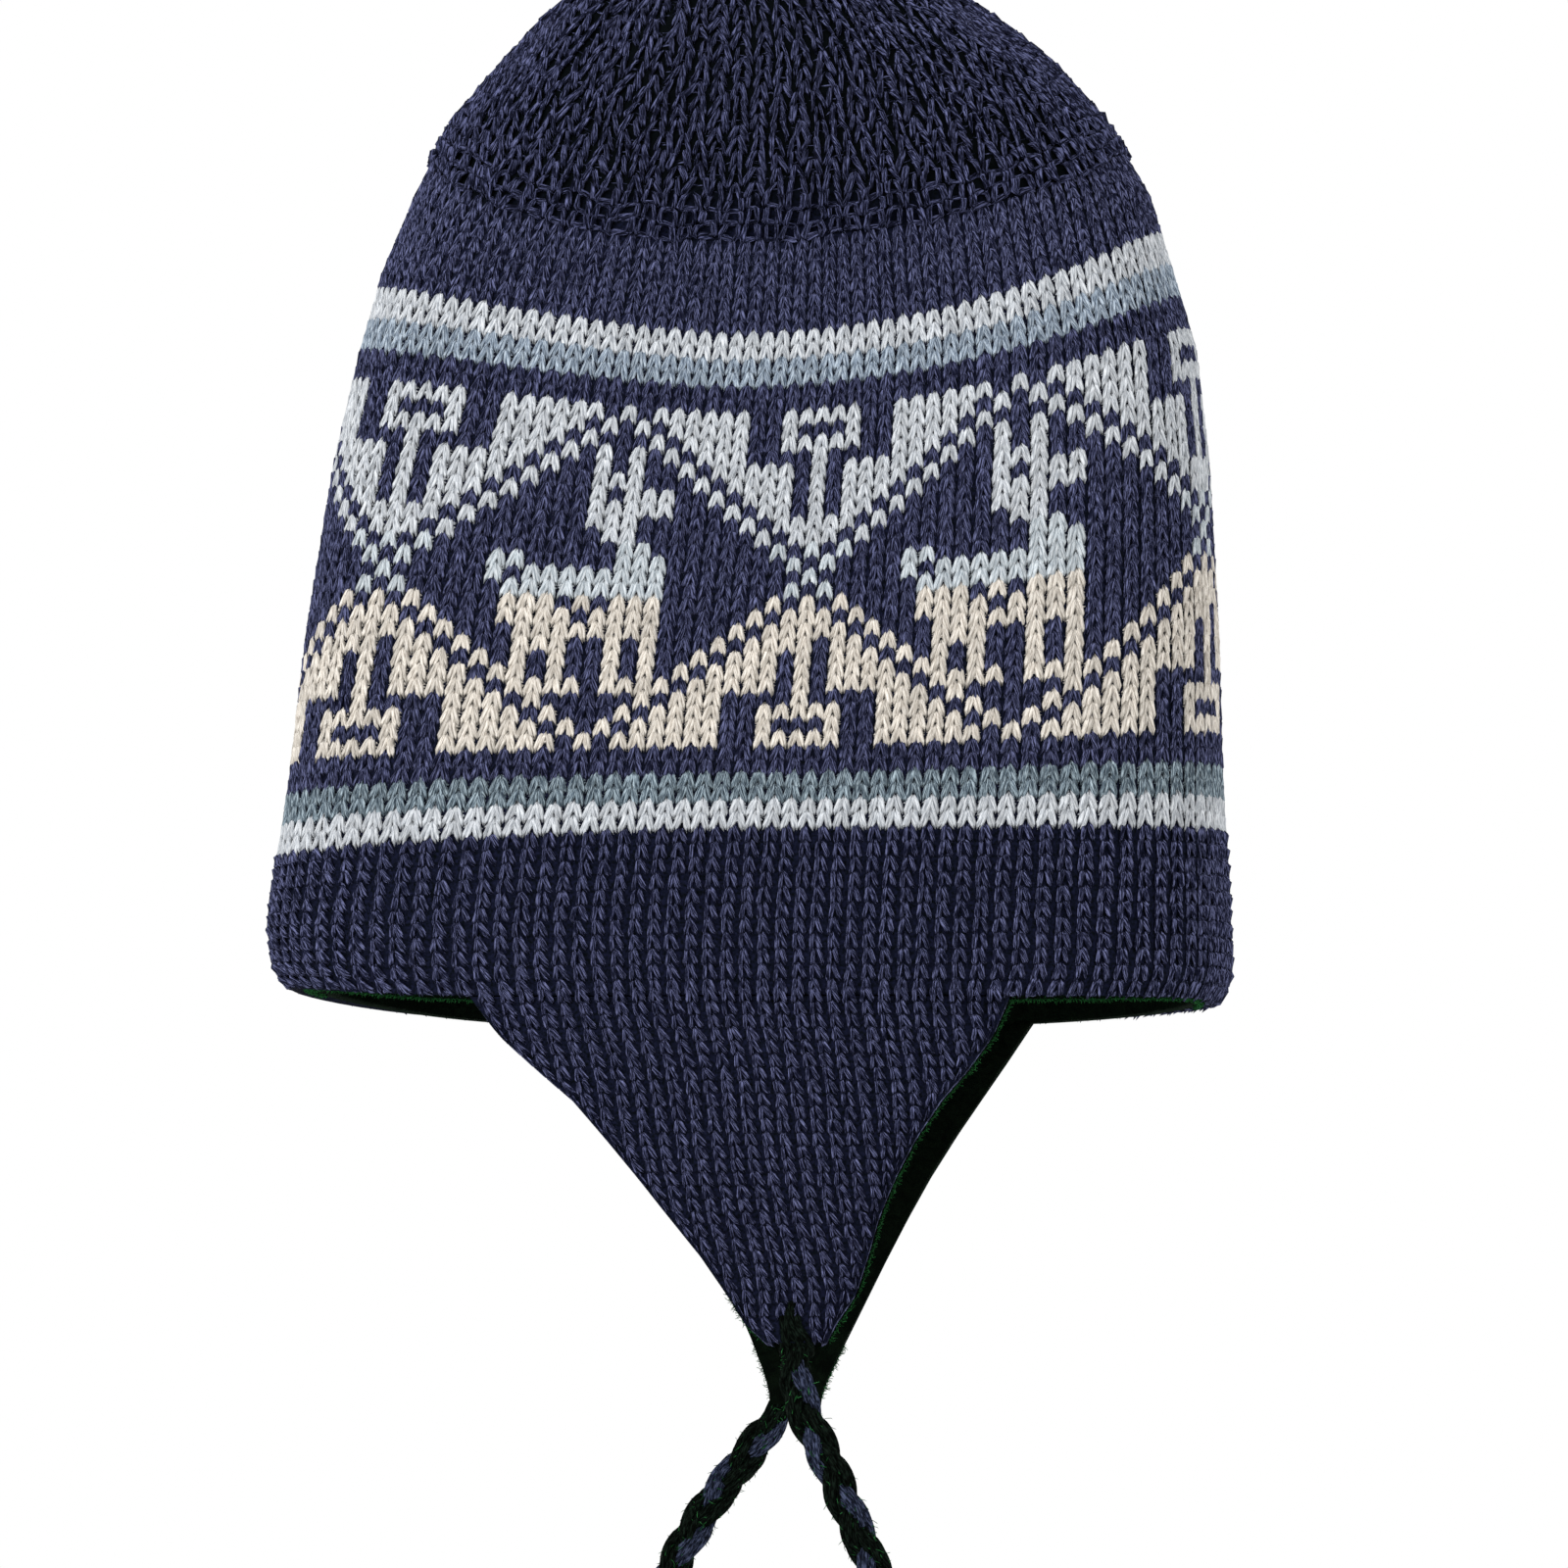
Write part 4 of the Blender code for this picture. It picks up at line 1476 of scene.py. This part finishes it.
@dataclass
class FleeceCap:
    """The fleece inside the crown, with its own closed top."""

    face: CrownFace
    columns: int = 132
    rows: int = 34
    dome_rows: int = 7
    proud: float = 0.0014        # how far the fleece shows below the knit's rim
    places: int = 5200           # places round the edge where a hair may stand

    def point(self, around: np.ndarray, share: np.ndarray) -> np.ndarray:
        """Points of the fleece's outer side, just inside the knit."""
        depth = (KNIT_WALL + LAYER_GAP
                 + LINING_EASE * np.clip(share / LINING_TOP, 0.0, 1.0) ** 4)
        base = np.maximum(share, 0.0)
        point = self.face.point(around, base) - self.face.outward(around, base) * depth[..., None]
        point[..., 2] += np.minimum(share, 0.0) * CROWN_HEIGHT
        return point

    def build(self, fleece: bpy.types.Material) -> None:
        """Make the cap from a rolled grid."""
        piece = fresh_grid("fleece_cap_lining", self.columns, self.rows + self.dome_rows)
        around = np.linspace(0.0, 2.0, self.columns + 1)
        shares = np.linspace(-self.proud / CROWN_HEIGHT, LINING_TOP, self.rows + 1)
        lines = [self.point(around, np.full_like(around, share)) for share in shares]
        top = lines[-1]
        level = float(top[:, 2].mean())
        for step in range(1, self.dome_rows + 1):
            part = step / self.dome_rows
            ring = top * (1.0 - part)
            ring[:, 2] = level + LINING_DOME * (1.0 - (1.0 - part) ** 2)
            lines.append(ring)
        points = np.stack(lines)
        swell = np.sin(around * pi * 9.0) * np.sin(np.linspace(0.0, 14.0, len(lines)))[:, None]
        inward = unit(np.array((0.0, 0.0, 1.0)) * points - points)
        points += inward * (0.0003 + 0.0003 * swell)[..., None]
        points[:, -1] = points[:, 0]
        shape_grid(piece, points)
        finish_wall(piece, LINING_WALL - 0.0006, merge=True)
        piece.data.materials.append(fleece)
        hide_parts("crown_lining")
        hang(piece)

    def fuzz(self, pile: YarnPile) -> None:
        """Pile along the fleece's lower edge by the near flap, not where a flap hangs."""
        around = np.linspace(0.0, 2.0, self.places)[:-1]
        root = self.point(around, np.full_like(around, -self.proud / CROWN_HEIGHT))
        outward = self.face.outward(around, np.zeros_like(around))
        root -= outward * 0.0006
        free = (np.abs(root[:, 0] - 0.002) > FLAP_WIDTH / 2 - 0.004) & (root[:, 1] < 0.02)
        down = np.array((0.0, 0.0, -1.0))
        add_hairs(pile, root[free], down * 0.8 + outward[free] * 0.7, 0.0012, 0)


@dataclass
class BraidedTie:
    """A tie of three strands, braided from the flap's tip to its knot."""

    side: Side
    start: np.ndarray
    offsets: tuple[tuple[float, float, float], ...]
    lobe: LobePrimitive
    phase: float
    seed: int
    pitch: float = 0.031         # metres for a strand to cross over and back
    swing: float = 0.0021        # how far a strand's middle moves to each side
    weave: float = 0.00125       # and to front and back
    strand: float = 0.0014       # from a strand's middle to its yarns' middles
    yarn: float = 0.00098        # radius of one yarn
    ends: int = 5                # yarns in a strand
    strand_turns: float = 1.6    # how often they wind round it from end to end
    hairs: int = 260             # stray hairs on a strand

    def route(self, count: int) -> np.ndarray:
        """Evenly spaced points of the smooth line through the tie's route.

        Args:
            count: how many points.

        Returns:
            The points.
        """
        through = [self.start + np.array((x, -self.side.value * y, -z))
                   for x, y, z in self.offsets]
        padded = [2 * through[0] - through[1], *through, 2 * through[-1] - through[-2]]
        line = []
        for place in np.linspace(0.0, len(through) - 1, 400):
            span = min(int(place), len(through) - 2)
            t = place - span
            a, b, c, d = padded[span:span + 4]
            line.append(0.5 * (2 * b + (c - a) * t + (2 * a - 5 * b + 4 * c - d) * t ** 2
                               + (3 * b - a - 3 * c + d) * t ** 3))
        line = np.array(line)
        length = travelled(line)
        even = np.linspace(0.0, length[-1], count)
        return np.stack([np.interp(even, length, line[:, axis]) for axis in range(3)], axis=1)

    def strands(self) -> list[np.ndarray]:
        """The middle line of each of the braid's three strands."""
        line = self.route(60)
        along = headings(line)
        front = np.tile((0.0, float(self.side.value), 0.0), (len(line), 1))
        front = unit(front - along * (front * along).sum(axis=1)[:, None])
        beside = np.cross(along, front)
        length = travelled(line)
        taper = np.clip(length / 0.008, 0.45, 1.0)
        found = []
        for number in range(3):
            angle = 2 * pi * (length / self.pitch + number / 3) + self.phase
            found.append(line + beside * (self.swing * taper * np.sin(angle))[:, None]
                         + front * (self.weave * np.sin(2 * angle))[:, None])
        return found

    def build(self, yarns: list[bpy.types.Material], tuft: bpy.types.Object) -> None:
        """Args:
            yarns: the finishes of the navy strand, of the dark ones and of their hairs.
            tuft: the knot and tuft at its end; not used.
        """
        pile = YarnPile("braided_tie_" + self.side.word, self.lobe, self.seed)
        for number, strand in enumerate(self.strands()):
            along = headings(strand)
            front = unit(np.cross(along, np.array((1.0, 0.2, 0.0))))
            beside = np.cross(along, front)
            steps = np.linspace(0.0, 1.0, len(strand))
            for end in range(self.ends):
                angle = 2 * pi * (end / self.ends + self.strand_turns * steps)
                path = strand + (front * np.cos(angle)[:, None]
                                 + beside * np.sin(angle)[:, None]) * self.strand
                pile.add_tube(path, self.yarn, TUBE_SIDES, tie_yarn(number))
            hairs = pile.random.integers(0, len(strand), self.hairs)
            spokes = unit(pile.random.normal(0.0, 1.0, (self.hairs, 3)))
            reach = self.strand + self.yarn * 0.8
            add_hairs(pile, strand[hairs] + spokes * reach, spokes * 0.4 + along[hairs],
                      0.0016, TieYarn.HAIR.value)
        piece = pile.build(yarns, "braided_yarn")
        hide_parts("tie_" + self.side.word)
        path = self.route(40)


@dataclass
class YarnTuft:
    """The overhand knot that ends a tie, and the brush of yarn below it."""

    side: Side
    end: np.ndarray
    along: np.ndarray
    lobe: LobePrimitive
    seed: int
    yarn: float = 0.00105        # radius of one yarn of the knot
    plait: float = 0.0016        # from the knot's middle line to its yarns' middles
    knot_reach: float = KNOT_DIAMETER / 2 - 0.0026
    knot_yarns: int = 6
    neck_yarns: int = 7
    sunk: float = 0.0022         # how far the neck's yarns start inside the tie
    strands: int = 44
    hair: float = 0.00085        # radius of one strand of the brush
    length: float = 0.021
    narrow: float = 0.0022       # the brush's radius where it leaves the knot
    spread: float = 0.0058       # and at its end

    def __post_init__(self) -> None:
        """Work out the knot's centre and the directions of the brush."""
        self.centre = self.end + self.along * (KNOT_DIAMETER / 2 + SEAM_GAP)
        self.down = unit(self.along + np.array((0.0, 0.0, -1.5)))
        self.across = np.array(Vector(self.down).orthogonal().normalized())
        self.beside = np.cross(self.down, self.across)

    def spoke(self, angle: float) -> np.ndarray:
        """A direction square to the brush."""
        return self.across * cos(angle) + self.beside * sin(angle)

    def knot(self, pile: YarnPile) -> None:
        """The overhand knot: yarns that wind round the line of a trefoil."""
        turn = np.linspace(0.0, 2 * pi, 90)
        loop = np.stack([np.sin(turn) + 2 * np.sin(2 * turn),
                         np.cos(turn) - 2 * np.cos(2 * turn), -2.0 * np.sin(3 * turn)], axis=1)
        loop *= self.knot_reach / 3.0
        middle = (self.centre + loop[:, :1] * self.across + loop[:, 1:2] * self.beside
                  + loop[:, 2:] * self.down)
        ahead = headings(middle)
        lift = unit(middle - self.centre)
        lift = unit(lift - ahead * (lift * ahead).sum(axis=1)[:, None])
        flank = np.cross(ahead, lift)
        for end in range(self.knot_yarns):
            angle = 2 * pi * end / self.knot_yarns + 2.0 * turn
            path = middle + (lift * np.cos(angle)[:, None]
                             + flank * np.sin(angle)[:, None]) * self.plait
            pile.add_tube(path, self.yarn, TUBE_SIDES, tie_yarn(end))

    def neck(self, pile: YarnPile, steps: np.ndarray) -> None:
        """Yarns that run from the tie into the knot."""
        start = self.end - self.along * self.sunk
        way = self.centre + self.down * 0.004 - start
        for number in range(self.neck_yarns):
            out = self.plait * min(1, number) * (1.0 + 0.3 * np.sin(pi * steps))[:, None]
            path = start + way * steps[:, None] + out * self.spoke(number * 1.05)
            pile.add_tube(path, self.yarn, TUBE_SIDES, tie_yarn(number))

    def brush(self, pile: YarnPile, steps: np.ndarray) -> None:
        """Loose strands below the knot, set evenly over a round brush."""
        for number in range(self.strands):
            out = ((number + 0.5) / self.strands) ** 0.5
            spoke = self.spoke(number * GOLDEN_ANGLE)
            long = self.length * pile.random.uniform(0.86, 1.03)
            sway = pile.random.normal(0.0, 0.0006, 3)
            reach = self.narrow + (self.spread - self.narrow) * steps ** 0.7
            path = (self.centre + self.down * (KNOT_DIAMETER * 0.30)
                    + steps[:, None] * self.down * long + reach[:, None] * spoke * out
                    + np.sin(steps * 5.0 + number)[:, None] * sway)
            radius = self.hair * (1.0 - 0.45 * steps ** 3)
            pile.add_tube(path, radius, TUBE_SIDES, tie_yarn(number))

    def build(self, yarns: list[bpy.types.Material]) -> bpy.types.Object:
        """Make the knot and the brush as one piece."""
        pile = YarnPile("knotted_tuft_" + self.side.word, self.lobe, self.seed)
        steps = np.linspace(0.0, 1.0, 9)
        self.knot(pile)
        self.neck(pile, steps)
        self.brush(pile, steps)
        piece = pile.build(yarns, "braided_yarn")
        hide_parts("tie_tuft_" + self.side.word)
        return piece


@dataclass
class Stage:
    """The camera, the floor and the light."""

    distance: float = 5.0
    yaw: float = radians(3.85)   # the far side of the hat shows past the near one
    pitch: float = radians(3.4)  # the camera looks up under the rim
    aim_across: float = 0.0080
    aim_up: float = 0.0504
    width: float = 0.3669        # metres across the frame at the hat
    sensor: float = 36.0
    floor_height: float = -0.5
    lamp_aim: float = 0.05       # height that the lamps look at

    def camera(self) -> None:
        """The photograph's view: level with the rim from far off, a little below it."""
        lens = bpy.data.cameras.new("photo_view")
        lens.sensor_width = self.sensor
        lens.lens = self.sensor * self.distance / self.width
        lens.clip_start, lens.clip_end = 0.1, 100.0
        camera = bpy.data.objects.new("photo_view", lens)
        bpy.context.scene.collection.objects.link(camera)
        right = Vector((cos(self.yaw), sin(self.yaw), 0.0))
        ahead = Vector((-sin(self.yaw) * cos(self.pitch), cos(self.yaw) * cos(self.pitch),
                        sin(self.pitch)))
        target = right * self.aim_across + Vector((0.0, 0.0, self.aim_up))
        camera.location = target - ahead * self.distance
        camera.rotation_euler = ahead.to_track_quat("-Z", "Y").to_euler()
        bpy.context.scene.camera = camera

    def lamp(self, name: str, place: tuple[float, float, float], size: float,
             power: float) -> None:
        """Add one soft lamp that looks at the hat.

        Args:
            name: the lamp's name.
            place: where it stands, metres.
            size: side of its square face, metres.
            power: watts.
        """
        light = bpy.data.lights.new(name, "AREA")
        light.size = size
        light.energy = power
        lamp = bpy.data.objects.new(name, light)
        bpy.context.scene.collection.objects.link(lamp)
        lamp.location = place
        aim = Vector((0.0, 0.0, self.lamp_aim)) - lamp.location
        lamp.rotation_euler = aim.to_track_quat("-Z", "Y").to_euler()

    def build(self) -> None:
        """Lay the floor and set the lights."""
        bpy.ops.object.select_all(action="DESELECT")
        bpy.ops.mesh.primitive_plane_add(size=60.0, location=(0.0, 0.0, 0.0))
        floor = bpy.context.object
        floor.name = "studio_floor"
        for vertex in floor.data.vertices:
            vertex.co.z = self.floor_height
        floor.data.materials.append(FloorFinish().build())
        world = bpy.data.worlds.new("studio_air")
        world.use_nodes = True
        shade = world.node_tree.nodes["Background"]
        shade.inputs["Color"].default_value = (1.0, 1.0, 1.0, 1.0)
        shade.inputs["Strength"].default_value = 1.0
        bpy.context.scene.world = world
        bpy.context.scene.view_settings.view_transform = "Standard"
        self.lamp("key_softbox", (-1.6, -2.4, 1.5), 1.4, 55.0)
        self.lamp("fill_softbox", (2.2, -1.8, 0.8), 1.8, 12.0)
        self.lamp("back_softbox", (0.4, 2.4, 1.6), 1.8, 30.0)


def yarn_finishes() -> list[bpy.types.Material]:
    """The knit's yarns, in the order of their numbers."""
    finishes = (
        YarnFinish("alpaca_yarn_navy_heather", "#0B0E20", "#1F2238", "#676B90", sheen="#4C4F74"),
        YarnFinish("alpaca_yarn_silver", "#969BA2", "#C1C5CA", "#D9DCE0", sheen="#CDD0D5"),
        YarnFinish("alpaca_yarn_pale_blue", "#939CA3", "#BAC2C8", "#D4D9DD", sheen="#C8CED3"),
        YarnFinish("alpaca_yarn_cream", "#AEA69C", "#D3CCC2", "#E6E0D8", sheen="#DCD6CC"),
        YarnFinish("alpaca_yarn_grey_blue", "#525E6C", "#8996A6", "#BDC9D4", sheen="#A6B2BE"),
        YarnFinish("alpaca_yarn_grey_teal", "#303C46", "#616F7A", "#A8B8C1", sheen="#93A2AE"),
        # the same navy painted darker, as shade over the crown's loose top
        YarnFinish("alpaca_yarn_navy_painted_shade", "#070917", "#1D2035", "#5C6084", sheen="#45486C",
                   uneven=0.28),
    )
    return [finish.build() for finish in finishes]


def braid_finishes() -> list[bpy.types.Material]:
    """The ties' yarns and hairs, in the order of their numbers."""
    finishes = (
        YarnFinish("alpaca_yarn_navy_teal_cast", "#080B14", "#191F31", "#444B64",
                   sheen="#37505A"),
        YarnFinish("alpaca_yarn_black_green", "#020302", "#060907", "#121C16",
                   sheen="#1C4A30", bloom=0.04, gloss=0.02),
        # green hairs: a real green cast, brightened as painted sheen where edges catch the light
        YarnFinish("alpaca_hair_green_and_painted_sheen", "#0B2A12", "#1C5227", "#32743F", sheen="#1F6A3C"),
    )
    return [finish.build() for finish in finishes]


def repaint(node: str, material: bpy.types.Material) -> None:
    """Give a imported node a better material.

    Args:
        node: the node's name.
        material: its new finish.
    """
    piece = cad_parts[node]
    for slot in piece.material_slots:
        slot.material = material


def main() -> None:
    """Build the hat's pieces in order, then the stage."""
    logging.basicConfig(level=logging.INFO, format="%(message)s")
    stage = Stage()
    stage.camera()
    lobe = LobePrimitive(4, 3)
    hair = LobePrimitive(3, 3)
    braid_yarns = braid_finishes()
    flap_sizes = (
        (Side.RIGHT, FLAP_ROWS_RIGHT, 0.080, 0.013, TIE_ROUTE_RIGHT, 2.2),
        (Side.LEFT, FLAP_ROWS_LEFT, 0.089, 0.0075, TIE_ROUTE_LEFT, 0.4),
    )
    for side, shape, drop, sway, offsets, phase in flap_sizes:
        x = np.array(shape[-1, 2] * sway)
        middle = (KNIT_WALL + LAYER_GAP + LINING_WALL) / 2
        start = np.array((float(x), side.value * (float(side_reach(x)) - FLAP_LEAN - middle),
                          -RIM_SAG - drop - SEAM_GAP))
        tie = BraidedTie(side, start, offsets, hair, phase, 40 + side.value)
        line = tie.route(200)
        tuft = YarnTuft(side, line[-1], unit(line[-1] - line[-2]), hair, 50 + side.value)
        tie.build(braid_yarns, tuft.build(braid_yarns))
    yarns = yarn_finishes()
    fleece = FleeceFinish().build()
    back = KnitBackFinish().build()
    face = CrownFace()
    grid = KnitGrid(face)
    CrownKnit(grid, lobe, yarns).build()
    cap = FleeceCap(face)
    cap.build(fleece)
    fuzz = YarnPile("fleece_edge_fuzz", hair, 60)
    for side, shape, drop, sway, _, _ in flap_sizes:
        flap = EarFlap(side, shape, drop, sway, grid, lobe, 70 + side.value)
        flap.knit(yarns)
        flap.tie_root(braid_yarns)
        flap.lining(fleece)
        flap.fuzz(fuzz)
    cap.fuzz(fuzz)
    # the fleece's edge hairs take the same green, partly painted sheen
    fuzz.build([braid_yarns[TieYarn.HAIR.value]], "dark_fleece")
    # the solids under the stitches get the knit back's painted shade
    for node in ("knitted_crown", "ear_flap_right", "ear_flap_left"):
        repaint(node, back)
    stage.build()


if __name__ == "__main__":
    main()
